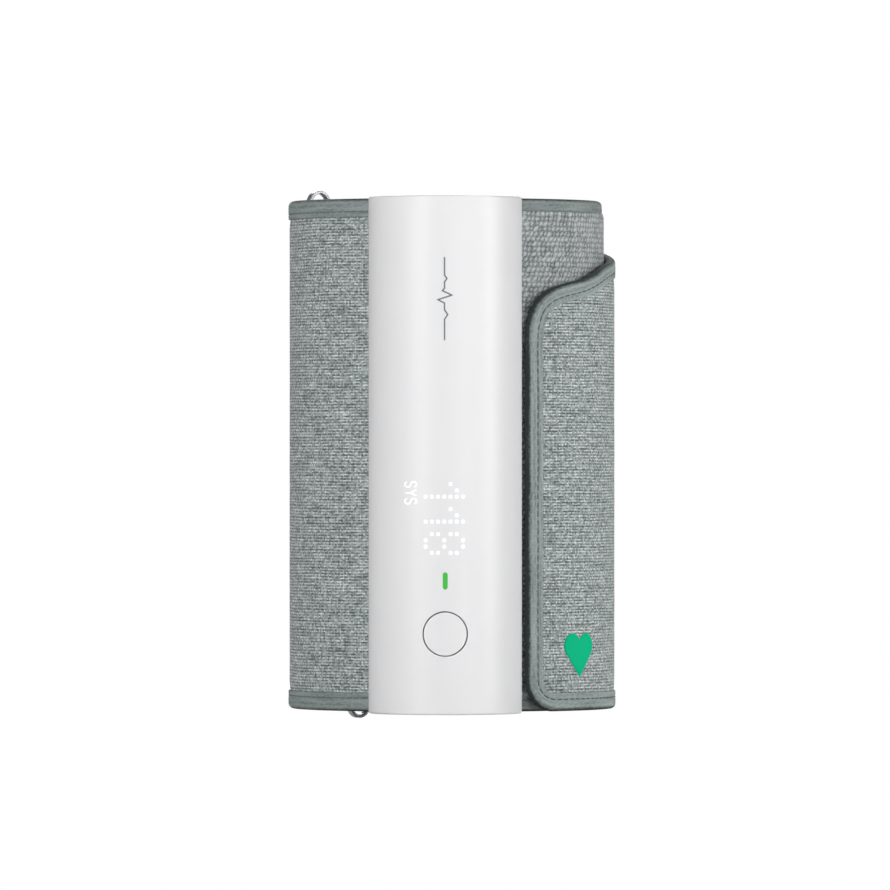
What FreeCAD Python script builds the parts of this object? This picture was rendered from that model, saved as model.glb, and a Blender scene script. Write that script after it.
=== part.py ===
"""Upper-arm blood pressure cuff with its monitor in a tube on the front.

Frame: millimetres, +Z up along the arm, origin on the arm's axis at mid height.
The monitor tube stands at -Y, the wearer reads it from there. Angles are measured
from -Y towards +X, so a point at radius r and angle a is (r sin a, -r cos a).
Soft layers are plain closed solids; radii grow outwards from the arm.
"""
import FreeCAD, Part
import math
import os

from FreeCAD import Vector, Rotation, Placement

os.makedirs("parts", exist_ok=True)

# Band round the arm
HALF = 75.0            # half of the band's height
BORE_R = 42.5          # arm side of the lining
LINING_OUT_R = 43.2
BLADDER_OUT_R = 44.4
PLATE_OUT_R = 45.3
FABRIC_OUT_R = 46.1
LOOP_OUT_R = 46.5
BINDING_T = 0.3        # one ply of edge tape
BINDING_W = 5.7        # width of tape seen from outside
SEAM = 0.05            # air between neighbouring layers
BLADDER_HALF = 62.0
BLADDER_START = -100.0
BLADDER_SWEEP = 205.0
BLADDER_WELD = 2.0     # welded rim, in millimetres up and in degrees round
FILM_T = 0.2
PLATE_HALF = 58.0
PLATE_SPAN = 20.0      # degrees each side of the tube
LOOP_START = 25.0
LOOP_SWEEP = 145.0

# Free strap end, lying over the band
STRAP_T = 2.4
FLAP_IN_R = 47.5
FLAP_OUT_R = FLAP_IN_R + STRAP_T
FLAP_LINING_T = 0.6
HOOK_IN_R = 46.8
FLAP_TAPE_W = 6.0
FLAP_R = 50.0          # radius at which lengths along the strap are measured
CORNER_R = 9.5         # rounded lower corner
CUT_IN_R = 44.0        # radii that reach right through the strap
CUT_OUT_R = 56.0
HOOK_LOW = -64.0
HOOK_HIGH = 38.0
HOOK_START = 40.0
HOOK_SWEEP = 42.0
TIP_ANGLE = 28.6       # where the strap ends, beside the tube
TIP_HINGE = 100.0      # angles of the two peel lines
MID_HINGE = 160.0
HINGE_GAP = 0.4        # gap at a peel line, measured along the arc
MARK_ANGLE = 51.7      # sewn mark near the strap's end
MARK_Z = -58.4
MARK_W = 13.5
MARK_LIFT = 0.25

# Strap ring at the back left
RING_ANGLE = 222.0
RING_TILT = 6.1        # lean of the ring's long axis along the arc
RING_HALF = 79.35      # half of the ring's height
RING_W = 8.4           # outer width
RING_WIRE = 0.95       # strip thickness, in the ring's plane
RING_DEPTH = 2.0       # strip width, across the ring's plane
RING_R = 47.75         # radius of the ring's mid plane at mid height
RING_ROOM = 0.75       # air between the ring and the strap outside it
TURN_IN = 1.6          # inner radius of the fabric turns round the ring
TAB_T = 1.0
TAB_HALF = HALF - 6.5
TAB_SEAM = 8.0         # degrees behind the band's start where the tab comes down
TAB_END = 16.0
TAB_IN_R = FABRIC_OUT_R + BINDING_T + SEAM
TAB_OUT_R = TAB_IN_R + TAB_T
STRAP_END = RING_ANGLE - 13.0    # where the full-thickness band stops
BAND_START = RING_ANGLE + 7.5    # where it starts again behind the tab
FLAP_START = RING_ANGLE - 30.0   # where the strap has come down onto the band

# Monitor tube
TUBE_HALF = 75.0
TUBE_R = 22.25         # front radius, and half of the width
TUBE_Y = -57.75        # centre of the front radius
WALL = 1.8
SPLIT_Y = -52.0        # parting plane between the two shells
SADDLE_R = 46.55       # back of the tube, on the band
CAP_T = 3.0
EDGE_ROUND = 0.6
BOSS_R = 2.4           # bosses that take the case screws
SCREW_R = 0.85
SCREW_HEAD_R = 1.9
SCREW_SEAT_Y = -46.5   # under the heads of the case screws
POST_R = 1.9           # posts of the anchor plate
POST_BOSS_R = 3.0

# Controls and display
BUTTON_Z = -51.6
BUTTON_R = 6.2
BUTTON_GAP = 0.35
BUTTON_TRAVEL = 0.4    # inward, onto the switch
FLANGE_R = 7.9         # flange that keeps the button in the shell
FLANGE_Y = -76.5
COLLAR_R = 8.4         # collar in the shell that the flange rests on
LENS_BACK_Y = -76.6
PLUNGER_R = 1.5        # switch plunger
DOT_PITCH = 1.8
DOT_R = 0.6
DOT_X0 = -5.65
DOT_Z0 = -8.4
LIGHT_Z = -36.3
LIGHT_W = 1.3
LIGHT_H = 4.9

# Inside the tube, with screws and posts as (x, z)
BOARD_Y = -72.6        # back face of the display board
BOARD_T = 1.0
BOARD_X = 11.5         # half of the display board's width
BOARD_Z = (-64.0, -1.0)
BOARD_SCREW_R = 0.75
CHIP_H = 0.5           # light-emitting chips
MAIN_Y = -50.3         # back face of the main board
MAIN_T = 1.2
MAIN_X = 13.2          # half of the main board's width
PUMP_Y = -62.5
MOTOR_R = 11.0
MOTOR_Z = (42.0, 66.0)
SHAFT_R = 1.0
HEAD_R = 12.0
HEAD_LOW = 22.0
CUP_CIRCLE_R = 6.2     # circle that the three diaphragms stand on
CUP_R = 3.1
SLEEVE_R = 13.2
SLEEVE_Z = (46.0, 62.0)
AIR_Y = -60.5          # middle of the manifold and the valve
BARB_R = 1.45          # hose barbs
BARB_BORE_R = 0.8
HOSE_IN_R = 1.5
NIPPLE_R = 2.4
PORT_R = 2.5           # holes that the nipple passes through
CELL_R = 7.0
CELL_Y = -63.2
NIPPLE_Z = 12.0
SENSOR_X = 9.6
ANCHORS = [(x, z) for x in (-11.0, 11.0) for z in (-45.0, 48.0)]
CASE_SCREWS = [(x, z) for x in (-16.0, 16.0) for z in (-66.0, 67.0)]
BOARD_POSTS = [(x, z) for x in (-9.4, 9.4) for z in (-61.8, -3.2)]
VALVE_X = -12.5
VALVE_R = 2.0          # release valve plunger
SPRING_R = 1.35
SPRING_WIRE_R = 0.15
SPRING_TURNS = 4
CLEAR = 0.05           # running clearance of shafts and plungers

X = Vector(1, 0, 0)
Y = Vector(0, 1, 0)
Z = Vector(0, 0, 1)
ORIGIN = Vector(0, 0, 0)


def save(name, shape):
    """Write one sub-part, and stop on a shape that isn't sound."""
    shape = shape.removeSplitter()
    if not shape.isValid() or shape.Volume <= 0:
        raise ValueError(name + " is not a sound solid")
    shape.exportStep("parts/%s.step" % name)
    print("%-20s %8.1f mm3 %3d solids" % (name, shape.Volume, len(shape.Solids)))


def polar(r, angle, z=0.0):
    a = math.radians(angle)
    return Vector(r * math.sin(a), -r * math.cos(a), z)


def box(x0, x1, y0, y1, z0, z1):
    return Part.makeBox(x1 - x0, y1 - y0, z1 - z0, Vector(x0, y0, z0))


def rod_x(r, x0, x1, y, z):
    return Part.makeCylinder(r, x1 - x0, Vector(x0, y, z), X)


def rod_y(r, y0, y1, x, z):
    return Part.makeCylinder(r, y1 - y0, Vector(x, y0, z), Y)


def rod_z(r, z0, z1, x, y):
    return Part.makeCylinder(r, z1 - z0, Vector(x, y, z0), Z)


def turned(profile, start, sweep):
    """Turn an (r, z) outline about Z, from the start angle over the sweep."""
    points = [polar(r, start, z) for r, z in profile]
    wire = Part.makePolygon(points + points[:1])
    return Part.Face(wire).revolve(ORIGIN, Z, sweep)


def ring(r_in, r_out, z0, z1, start=0.0, sweep=360.0):
    return turned([(r_in, z0), (r_out, z0), (r_out, z1), (r_in, z1)], start, sweep)


def arc(r, a0, a1, z):
    """Arc about the arm's axis."""
    middle = polar(r, (a0 + a1) / 2, z)
    return Part.Arc(polar(r, a0, z), middle, polar(r, a1, z)).toShape()


def line(p, q):
    return Part.LineSegment(p, q).toShape()


def screw_angle(z):
    """How far the ring's lean has moved a feature round the band at height z."""
    return math.degrees(z * math.tan(math.radians(RING_TILT)) / RING_R)


def leaning(outline, z0, z1, steps=4):
    """Solid whose flat outline turns about Z with height, to follow the ring's lean."""
    wires = []
    for i in range(steps + 1):
        z = z0 + (z1 - z0) * i / steps
        wires.append(Part.Wire(outline(z, screw_angle(z))))
    return Part.makeLoft(wires, True, False)


def bay(r_in, r_out, a0, a1):
    """Leaning sector used to open the layers at the ring."""
    def outline(z, turn):
        return [arc(r_in, a0 + turn, a1 + turn, z),
                line(polar(r_in, a1 + turn, z), polar(r_out, a1 + turn, z)),
                arc(r_out, a1 + turn, a0 + turn, z),
                line(polar(r_out, a0 + turn, z), polar(r_in, a0 + turn, z))]
    return leaning(outline, -HALF - 5, HALF + 5)


def band_layers():
    """Lining, bladder, padded fabric, loop patch and edge tape of the band."""
    tape_edge = HALF - BINDING_W
    seat = HALF - BINDING_T
    opening = bay(BORE_R - 3, FLAP_IN_R, STRAP_END, BAND_START)

    inner = BORE_R + BINDING_T
    lining = turned([(BORE_R, -tape_edge), (inner, -tape_edge), (inner, -seat),
                     (LINING_OUT_R, -seat), (LINING_OUT_R, seat), (inner, seat),
                     (inner, tape_edge), (BORE_R, tape_edge)], 0, 360)
    save("cuff_lining", lining.cut(opening))

    pocket_r = LINING_OUT_R + SEAM
    pouch = ring(pocket_r, BLADDER_OUT_R, -BLADDER_HALF, BLADDER_HALF, BLADDER_START, BLADDER_SWEEP)
    room_half = BLADDER_HALF - BLADDER_WELD
    room = ring(pocket_r + FILM_T, BLADDER_OUT_R - FILM_T, -room_half, room_half,
                BLADDER_START + BLADDER_WELD, BLADDER_SWEEP - 2 * BLADDER_WELD)
    port = rod_y(PORT_R, -50, -43.9, 0, NIPPLE_Z)
    save("air_bladder", pouch.cut(room).cut(port))

    plate = ring(BLADDER_OUT_R + SEAM, PLATE_OUT_R, -PLATE_HALF, PLATE_HALF,
                 -PLATE_SPAN, 2 * PLATE_SPAN)
    for x, z in ANCHORS:
        plate = plate.fuse(rod_y(POST_R, -49.9, -44.0, x, z))
    plate = plate.cut(ring(BLADDER_OUT_R - 3, BLADDER_OUT_R + SEAM, -HALF, HALF))
    save("anchor_plate", plate.cut(rod_y(PORT_R, -60, -40, 0, NIPPLE_Z)))

    skin = FABRIC_OUT_R - 0.05
    fabric = turned([(LINING_OUT_R, -seat), (skin, -seat), (skin, -tape_edge),
                     (FABRIC_OUT_R, -tape_edge), (FABRIC_OUT_R, tape_edge),
                     (skin, tape_edge), (skin, seat), (LINING_OUT_R, seat)], 0, 360)
    high = BLADDER_HALF + 1
    fabric = fabric.cut(ring(LINING_OUT_R - 1, BLADDER_OUT_R + SEAM, -high, high,
                             BLADDER_START - 2, BLADDER_SWEEP + 4))
    high = PLATE_HALF + 0.5
    span = PLATE_SPAN + 0.5
    fabric = fabric.cut(ring(BLADDER_OUT_R - 1, PLATE_OUT_R + SEAM, -high, high, -span, 2 * span))
    for x, z in ANCHORS:
        fabric = fabric.cut(rod_y(POST_R + 0.1, -60, -40, x, z))
    fabric = fabric.cut(rod_y(PORT_R, -60, -40, 0, NIPPLE_Z))
    save("cuff_fabric", fabric.cut(opening))

    high = tape_edge - 0.1
    save("loop_patch", ring(FABRIC_OUT_R, LOOP_OUT_R, -high, high, LOOP_START, LOOP_SWEEP))

    out = FABRIC_OUT_R + BINDING_T
    tape = turned([(BORE_R, tape_edge), (inner, tape_edge), (inner, seat), (skin, seat),
                   (skin, tape_edge), (out, tape_edge), (out, HALF), (BORE_R, HALF)], 0, 360)
    save("cuff_binding_top", tape.cut(opening))
    lower = tape.mirror(ORIGIN, Z)
    save("cuff_binding_bottom", lower.cut(opening))


def ring_frame(shape):
    """Place a shape made about the origin (X along the arc, Y outwards) at the ring."""
    lean = Placement(ORIGIN, Rotation(Y, -RING_TILT))
    there = Placement(polar(RING_R, RING_ANGLE), Rotation(Z, RING_ANGLE - 180.0))
    # The shape's +Y turns onto the outward radius, +X onto falling angle.
    placed = shape.copy()
    placed.Placement = there.multiply(lean)
    return placed


def strap_ring():
    """Flat strip bent to a long loop with round ends."""
    def loop(width, half):
        r = width / 2
        run = half - r
        y = -RING_DEPTH / 2
        edges = [line(Vector(r, y, -run), Vector(r, y, run)),
                 Part.Arc(Vector(r, y, run), Vector(0, y, half), Vector(-r, y, run)).toShape(),
                 line(Vector(-r, y, run), Vector(-r, y, -run)),
                 Part.Arc(Vector(-r, y, -run), Vector(0, y, -half), Vector(r, y, -run)).toShape()]
        return Part.Face(Part.Wire(edges)).extrude(Y * RING_DEPTH)
    half = RING_HALF / math.cos(math.radians(RING_TILT)) - 0.4
    strip = loop(RING_W, half).cut(loop(RING_W - 2 * RING_WIRE, half - RING_WIRE))
    strip = strip.makeFillet(0.25, strip.Edges)
    save("strap_ring", ring_frame(strip))


def ring_leg(side, z):
    """Radius and angle of a leg's centre line at height z; side is -1 strap, +1 tab."""
    lean = math.radians(RING_TILT)
    along = side * (RING_W - RING_WIRE) / 2 / math.cos(lean) + z * math.tan(lean)
    return math.hypot(RING_R, along), RING_ANGLE + math.degrees(math.atan2(along, RING_R))


def turn_arc(r, centre, direction, p, q):
    """Half circle from p to q about the centre, bulging in the direction."""
    return Part.Arc(p, centre + direction * r, q).toShape()


def strap_fold():
    """The strap's turn round the ring's leg, from the band out to the free end."""
    under_out = FABRIC_OUT_R
    under_in = under_out - STRAP_T

    def outline(z, turn):
        leg_r, leg_angle = ring_leg(-1, z)
        over_in = leg_r + RING_DEPTH / 2 + RING_ROOM + 0.1
        over_out = over_in + STRAP_T
        inner = (over_in - under_out) / 2
        middle = (over_in + under_out) / 2
        fold = leg_angle - math.degrees((inner - TURN_IN) / middle)
        start = STRAP_END + 0.1 + turn
        flat = RING_ANGLE - 15.0 + turn
        down = FLAP_START + 0.1 + turn
        centre = polar(middle, fold, z)
        onward = polar(1.0, fold + 90.0)
        return [line(polar(under_in, start, z), polar(under_out, start, z)),
                arc(under_out, start, fold, z),
                turn_arc(inner, centre, onward, polar(under_out, fold, z), polar(over_in, fold, z)),
                arc(over_in, fold, flat, z),
                line(polar(over_in, flat, z), polar(FLAP_IN_R, down, z)),
                line(polar(FLAP_IN_R, down, z), polar(FLAP_OUT_R, down, z)),
                line(polar(FLAP_OUT_R, down, z), polar(over_out, flat, z)),
                arc(over_out, flat, fold, z),
                turn_arc(inner + STRAP_T, centre, onward, polar(over_out, fold, z),
                         polar(under_in, fold, z)),
                arc(under_in, fold, start, z)]
    save("strap_fold", leaning(outline, -HALF + 0.3, HALF - 0.3))


def ring_tab():
    """Tab sewn to the band's other end, folded round the ring's second leg."""
    def outline(z, turn):
        leg_r, fold = ring_leg(1, z)
        under_out = leg_r - TURN_IN
        under_in = under_out - TAB_T
        over_in = leg_r + TURN_IN
        over_out = over_in + TAB_T
        under = BAND_START - 0.15 + turn
        lift = BAND_START - 0.1 + turn
        sewn = BAND_START + TAB_SEAM + turn
        end = BAND_START + TAB_END + turn
        centre = polar(leg_r, fold, z)
        back = polar(1.0, fold - 90.0)
        return [line(polar(under_out, under, z), polar(under_in, under, z)),
                arc(under_in, under, fold, z),
                turn_arc(TURN_IN + TAB_T, centre, back, polar(under_in, fold, z),
                         polar(over_out, fold, z)),
                arc(over_out, fold, lift, z),
                line(polar(over_out, lift, z), polar(TAB_OUT_R, sewn, z)),
                arc(TAB_OUT_R, sewn, end, z),
                line(polar(TAB_OUT_R, end, z), polar(TAB_IN_R, end, z)),
                arc(TAB_IN_R, end, sewn, z),
                line(polar(TAB_IN_R, sewn, z), polar(over_in, lift, z)),
                arc(over_in, lift, fold, z),
                turn_arc(TURN_IN, centre, back, polar(over_in, fold, z), polar(under_out, fold, z)),
                arc(under_out, fold, under, z)]
    save("ring_tab", leaning(outline, -TAB_HALF, TAB_HALF))


# Upper edge of the free strap, as length along it and height, from the end round the
# soft corner and then straight up to full height at the ring.
UPPER_EDGE = [(20.0, 20.0), (24.6, 33.5), (25.2, 36.5), (26.4, 41.8), (28.3, 44.6),
              (31.1, 47.1), (35.1, 49.1), (40.5, 50.3), (47.2, 51.4), (54.3, 53.5),
              (61.3, 55.6), (96.0, 60.3), (185.0, HALF - 0.2), (200.0, HALF - 0.2)]


def lower_edge():
    """Lower edge with its rounded corner at the strap's end."""
    end = math.radians(TIP_ANGLE) * FLAP_R
    low = -HALF + 0.2
    points = [(end - 4.0, low + CORNER_R + 6.0), (end, low + CORNER_R)]
    for degrees in (20, 40, 60, 80):
        a = math.radians(degrees)
        points.append((end + CORNER_R * (1 - math.cos(a)), low + CORNER_R * (1 - math.sin(a))))
    points.append((end + CORNER_R, low))
    points.append((100.0, low))
    points.append((200.0, low))
    return points


def inset(points, distance, inward):
    """Move an edge line sideways by the distance; inward is -1 for down, +1 for up."""
    moved = []
    for i, (s, z) in enumerate(points):
        s0, z0 = points[max(i - 1, 0)]
        s1, z1 = points[min(i + 1, len(points) - 1)]
        length = math.hypot(s1 - s0, z1 - z0)
        moved.append((s - inward * distance * (z1 - z0) / length,
                      z + inward * distance * (s1 - s0) / length))
    return moved


def short_steps(points, longest):
    """The same edge line with its long runs divided, so that it follows the curve."""
    divided = [points[0]]
    for (s0, z0), (s1, z1) in zip(points, points[1:]):
        count = max(1, math.ceil(math.hypot(s1 - s0, z1 - z0) / longest))
        for i in range(1, count + 1):
            divided.append((s0 + (s1 - s0) * i / count, z0 + (z1 - z0) * i / count))
    return divided


def beyond(points, far):
    """Solid that covers everything between an edge line and the height far."""
    wires = []
    for s, z in short_steps(points, 7.0):
        a = math.degrees(s / FLAP_R)
        corners = [polar(CUT_IN_R, a, z), polar(CUT_OUT_R, a, z),
                   polar(CUT_OUT_R, a, far), polar(CUT_IN_R, a, far)]
        wires.append(Part.makePolygon(corners + corners[:1]))
    return Part.makeLoft(wires, True, True)


def strap_panel(r_in, r_out, a0, a1, margin, end_margin):
    """Cylindrical panel of the strap between two angles, cut to its edge lines."""
    start = a0 + math.degrees(end_margin / FLAP_R)
    panel = ring(r_in, r_out, -HALF, HALF, start, a1 - start)
    panel = panel.cut(beyond(inset(UPPER_EDGE, margin, -1), 100.0))
    return panel.cut(beyond(inset(lower_edge(), margin, 1), -100.0))


def strap_section(name, a0, a1, is_tip):
    """Padded fabric, lining and edge tape of one length of the strap."""
    end = 1.0 if is_tip else 0.0
    split_r = FLAP_IN_R + FLAP_LINING_T
    back = None if name != "flap_base" else bay(CUT_IN_R, CUT_OUT_R, FLAP_START, FLAP_START + 25.0)

    def finish(shape):
        return shape if back is None else shape.cut(back)
    fabric = strap_panel(split_r + SEAM, FLAP_OUT_R, a0, a1, BINDING_T, BINDING_T * end)
    lining = strap_panel(FLAP_IN_R, split_r, a0, a1, BINDING_T, BINDING_T * end)
    tape_in = FLAP_IN_R - BINDING_T
    tape = strap_panel(tape_in, FLAP_OUT_R + BINDING_T, a0, a1, 0.0, 0.0)
    core = strap_panel(FLAP_IN_R, FLAP_OUT_R, a0, a1, BINDING_T, BINDING_T * end)
    window = strap_panel(tape_in - 1, FLAP_OUT_R + 2, a0, a1, FLAP_TAPE_W, FLAP_TAPE_W * end)
    save(name + "_fabric", finish(fabric))
    save(name + "_lining", finish(lining))
    save(name + "_binding", finish(tape.cut(core).cut(window)))


def strap():
    """The free strap in three lengths that peel off the band one after another."""
    gap = math.degrees(HINGE_GAP / 2 / FLAP_R)
    strap_section("flap_tip", TIP_ANGLE, TIP_HINGE - gap, True)
    strap_section("flap_mid", TIP_HINGE + gap, MID_HINGE - gap, False)
    strap_section("flap_base", MID_HINGE + gap, FLAP_START + 12.0, False)
    save("hook_patch", ring(HOOK_IN_R, FLAP_IN_R, HOOK_LOW, HOOK_HIGH, HOOK_START, HOOK_SWEEP))
    skin = ring(FLAP_OUT_R, FLAP_OUT_R + MARK_LIFT, MARK_Z - MARK_W, MARK_Z + MARK_W,
                MARK_ANGLE - 20.0, 40.0)
    save("flap_mark", heart(MARK_W).common(skin))


def heart(width):
    """Heart-shaped bar along the strap's normal at the sewn mark, upright."""
    r = width / 4
    front = -70.0
    top = MARK_Z + 0.18 * width
    belly = MARK_Z - 0.16 * width
    point = Vector(0, front, MARK_Z - 0.5 * width)
    left = Vector(-2 * r, front, top)
    right = Vector(2 * r, front, top)
    dip = Vector(0, front, top)
    lobe_left = Part.Arc(left, Vector(-r, front, top + r), dip).toShape()
    lobe_right = Part.Arc(dip, Vector(r, front, top + r), right).toShape()
    side_left = Part.Arc(point, Vector(-1.45 * r, front, belly), left).toShape()
    side_right = Part.Arc(right, Vector(1.45 * r, front, belly), point).toShape()
    bar = Part.Face(Part.Wire([side_left, lobe_left, lobe_right, side_right])).extrude(Y * 60)
    bar.rotate(ORIGIN, Z, MARK_ANGLE)
    return bar


def tube_section(inset_by):
    """Outline of the tube: round front, straight sides, hollow back on the band."""
    r = TUBE_R - inset_by
    saddle = SADDLE_R + inset_by
    side_y = -math.sqrt(saddle ** 2 - r ** 2)
    front = Part.Arc(Vector(-r, TUBE_Y, 0), Vector(0, TUBE_Y - r, 0), Vector(r, TUBE_Y, 0))
    back = Part.Arc(Vector(r, side_y, 0), Vector(0, -saddle, 0), Vector(-r, side_y, 0))
    return Part.Face(Part.Wire([front.toShape(), line(Vector(r, TUBE_Y, 0), Vector(r, side_y, 0)),
                                back.toShape(), line(Vector(-r, side_y, 0), Vector(-r, TUBE_Y, 0))]))


def tube_solid(inset_by, z0, z1):
    solid = tube_section(inset_by).extrude(Vector(0, 0, z1 - z0))
    solid.translate(Vector(0, 0, z0))
    return solid


def shells():
    """Front and rear halves of the tube, with bosses for screws and anchor posts."""
    outer = tube_solid(0, -TUBE_HALF, TUBE_HALF)
    rims = [e for e in outer.Edges if abs(abs(e.CenterOfMass.z) - TUBE_HALF) < 0.01]
    outer = outer.makeFillet(EDGE_ROUND, rims)
    hollow = outer.cut(tube_solid(WALL, -TUBE_HALF - 1, TUBE_HALF + 1))
    room = tube_solid(WALL - 0.01, -TUBE_HALF, TUBE_HALF)
    core = tube_solid(WALL / 2, -TUBE_HALF, TUBE_HALF)

    front = hollow.common(box(-30, 30, -90, SPLIT_Y, -80, 80))
    for x, z in CASE_SCREWS:
        post = rod_y(BOSS_R, -80, SPLIT_Y, x, z).common(core)
        front = front.fuse(post)
        front = front.cut(rod_y(SCREW_R + CLEAR, -68, SPLIT_Y + 1, x, z))
    collar = rod_y(COLLAR_R, -82, LENS_BACK_Y, 0, BUTTON_Z).common(core)
    front = front.fuse(collar)
    front = front.cut(rod_y(BUTTON_R + BUTTON_GAP, -90, -70, 0, BUTTON_Z))
    front = front.cut(light_bar(LIGHT_W / 2 + SEAM, LIGHT_H + 2 * SEAM, -90, -70))
    for x, z in LIT_DOTS:
        front = front.cut(rod_y(DOT_R, -82, -70, x, z))
    save("front_shell", front)

    rear = hollow.common(box(-30, 30, SPLIT_Y, -30, -80, 80))
    for x, z in CASE_SCREWS:
        rear = rear.fuse(rod_y(BOSS_R, SPLIT_Y, -40, x, z).common(room))
    for x, z in ANCHORS:
        rear = rear.fuse(rod_y(POST_BOSS_R, -50.0, -40, x, z).common(room))
    for x, z in CASE_SCREWS:
        rear = rear.cut(rod_y(SCREW_R + 0.25, SPLIT_Y - 1, -30, x, z))
        rear = rear.cut(rod_y(SCREW_HEAD_R + 0.1, SCREW_SEAT_Y, -30, x, z))
    for x, z in ANCHORS:
        rear = rear.cut(rod_y(POST_R + CLEAR, -51, -30, x, z))
    save("rear_shell", rear.cut(rod_y(PORT_R, -60, -40, 0, NIPPLE_Z)))

    screws = []
    for x, z in CASE_SCREWS:
        screw = rod_y(SCREW_R, -60, SCREW_SEAT_Y, x, z)
        screw = screw.fuse(rod_y(SCREW_HEAD_R, SCREW_SEAT_Y, SCREW_SEAT_Y + 1.3, x, z))
        screws.append(screw.cut(rod_y(0.7, SCREW_SEAT_Y + 0.6, SCREW_SEAT_Y + 1.5, x, z)))
    save("case_screws", Part.makeCompound(screws))


def end_caps():
    """Plugs in the tube's ends; the lower one has the charging port."""
    cap = tube_solid(WALL + CLEAR, TUBE_HALF - CAP_T, TUBE_HALF - 0.25)
    skirt = tube_solid(WALL + CLEAR, TUBE_HALF - CAP_T - 2.5, TUBE_HALF - CAP_T)
    skirt = skirt.cut(tube_solid(WALL + 1.4, TUBE_HALF - 9, TUBE_HALF))
    for x in (-17.5, 17.5):
        skirt = skirt.cut(box(x - 4.5, x + 4.5, -80, -30, 60, TUBE_HALF - CAP_T))
    top = cap.fuse(skirt)
    save("end_cap_top", top)
    bottom = top.mirror(ORIGIN, Z)
    port = box(-4.2, 4.2, MAIN_Y - MAIN_T - 3.3, MAIN_Y - MAIN_T + 0.1, -TUBE_HALF, -68)
    bottom = bottom.cut(port)
    board_slot = box(-14.5, 14.5, MAIN_Y - MAIN_T - 0.3, MAIN_Y + 2.6, -72, -66)
    save("end_cap_bottom", bottom.cut(board_slot))


def light_bar(r, height, y0, y1):
    """Upright bar with round ends, through the front wall."""
    run = height / 2 - r
    middle = box(-r, r, y0, y1, LIGHT_Z - run, LIGHT_Z + run)
    return middle.fuse(rod_y(r, y0, y1, 0, LIGHT_Z - run)).fuse(rod_y(r, y0, y1, 0, LIGHT_Z + run))


# Columns lit in each row of the display, counted from the left, rows from the top:
# three digits that are read with the tube lying on its side.
ROWS = [(4,), (5,), range(7), (), (4,), (5,), range(7), (), (1, 2, 4, 5), (0, 3, 6), (0, 3, 6),
        (1, 2, 4, 5)]
LIT_DOTS = [(DOT_X0 + DOT_PITCH * column, DOT_Z0 - DOT_PITCH * row)
            for row, columns in enumerate(ROWS) for column in columns]
ALL_DOTS = [(DOT_X0 + DOT_PITCH * column, DOT_Z0 - DOT_PITCH * row)
            for row in range(len(ROWS)) for column in range(7)]


def display():
    """Board, light-emitting dots, light guide and the lenses that show through."""
    front_y = BOARD_Y - BOARD_T
    board = box(-BOARD_X, BOARD_X, front_y, BOARD_Y, *BOARD_Z)
    for x, z in BOARD_POSTS:
        board = board.cut(rod_y(BOARD_SCREW_R + 0.15, -80, -60, x, z))
    save("display_board", board)

    chip_y = front_y - CHIP_H
    guide_y = chip_y - 0.1
    guide = box(-7.4, 7.4, FLANGE_Y, guide_y, -30.6, -6.4)
    chips = []
    for x, z in ALL_DOTS:
        chips.append(box(x - 0.5, x + 0.5, chip_y, front_y, z - 0.5, z + 0.5))
        guide = guide.cut(rod_y(DOT_R + 0.05, -80, -70, x, z))
    chips.append(box(-0.6, 0.6, chip_y, front_y, LIGHT_Z - 1.2, LIGHT_Z + 1.2))
    save("display_leds", Part.makeCompound(chips))
    save("light_guide", guide)

    skin = tube_solid(0, -TUBE_HALF, TUBE_HALF)
    dots = []
    for x, z in LIT_DOTS:
        lens = rod_y(DOT_R - 0.01, -82, LENS_BACK_Y, x, z)
        dots.append(lens.common(skin).cut(tube_solid(WALL, -TUBE_HALF, TUBE_HALF)))
    save("display_lenses", Part.makeCompound(dots))
    save("status_light", light_bar(LIGHT_W / 2, LIGHT_H, -82, guide_y).common(skin))

    switch_y = front_y - 1.5
    body = box(-3, 3, switch_y, front_y, BUTTON_Z - 3, BUTTON_Z + 3)
    bore = rod_y(PLUNGER_R + CLEAR, switch_y - 1, switch_y + 1.1, 0, BUTTON_Z)
    save("tact_switch", body.cut(bore))
    plunger_y = switch_y - BUTTON_TRAVEL - 0.15
    save("switch_plunger", rod_y(PLUNGER_R, plunger_y, switch_y + 0.6, 0, BUTTON_Z))

    cap = rod_y(BUTTON_R, -85, FLANGE_Y, 0, BUTTON_Z).common(tube_solid(0.1, -TUBE_HALF, TUBE_HALF))
    cap = cap.fuse(rod_y(FLANGE_R, FLANGE_Y, plunger_y - SEAM, 0, BUTTON_Z))
    save("power_button", cap)

    screws = []
    for x, z in BOARD_POSTS:
        screw = rod_y(BOARD_SCREW_R, front_y, BOARD_Y + 4, x, z)
        screw = screw.fuse(rod_y(1.4, front_y - 0.8, front_y, x, z))
        screws.append(screw.cut(rod_y(0.5, front_y - 1, front_y - 0.4, x, z)))
    save("board_screws", Part.makeCompound(screws))


def chassis():
    """Frame that carries both boards and the cell."""
    frame = box(-17.5, 17.5, -54.2, -53.0, -62, 1)
    for x, z in BOARD_POSTS:
        frame = frame.fuse(rod_y(1.7, BOARD_Y, -53.5, x, z))
    for z0 in (-50, -18):
        frame = frame.fuse(box(-8.6, 8.6, CELL_Y, -53.5, z0, z0 + 6))
    for x, z in BOARD_POSTS:
        frame = frame.cut(rod_y(BOARD_SCREW_R, BOARD_Y - 1, BOARD_Y + 4.2, x, z))
    frame = frame.cut(rod_z(CELL_R + 0.1, -58, 1, 0, CELL_Y))
    save("chassis", frame)

    cell = rod_z(CELL_R, -56, -8, 0, CELL_Y)
    cell = cell.fuse(rod_z(2.4, -8, -7, 0, CELL_Y))
    save("battery_cell", cell)


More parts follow.
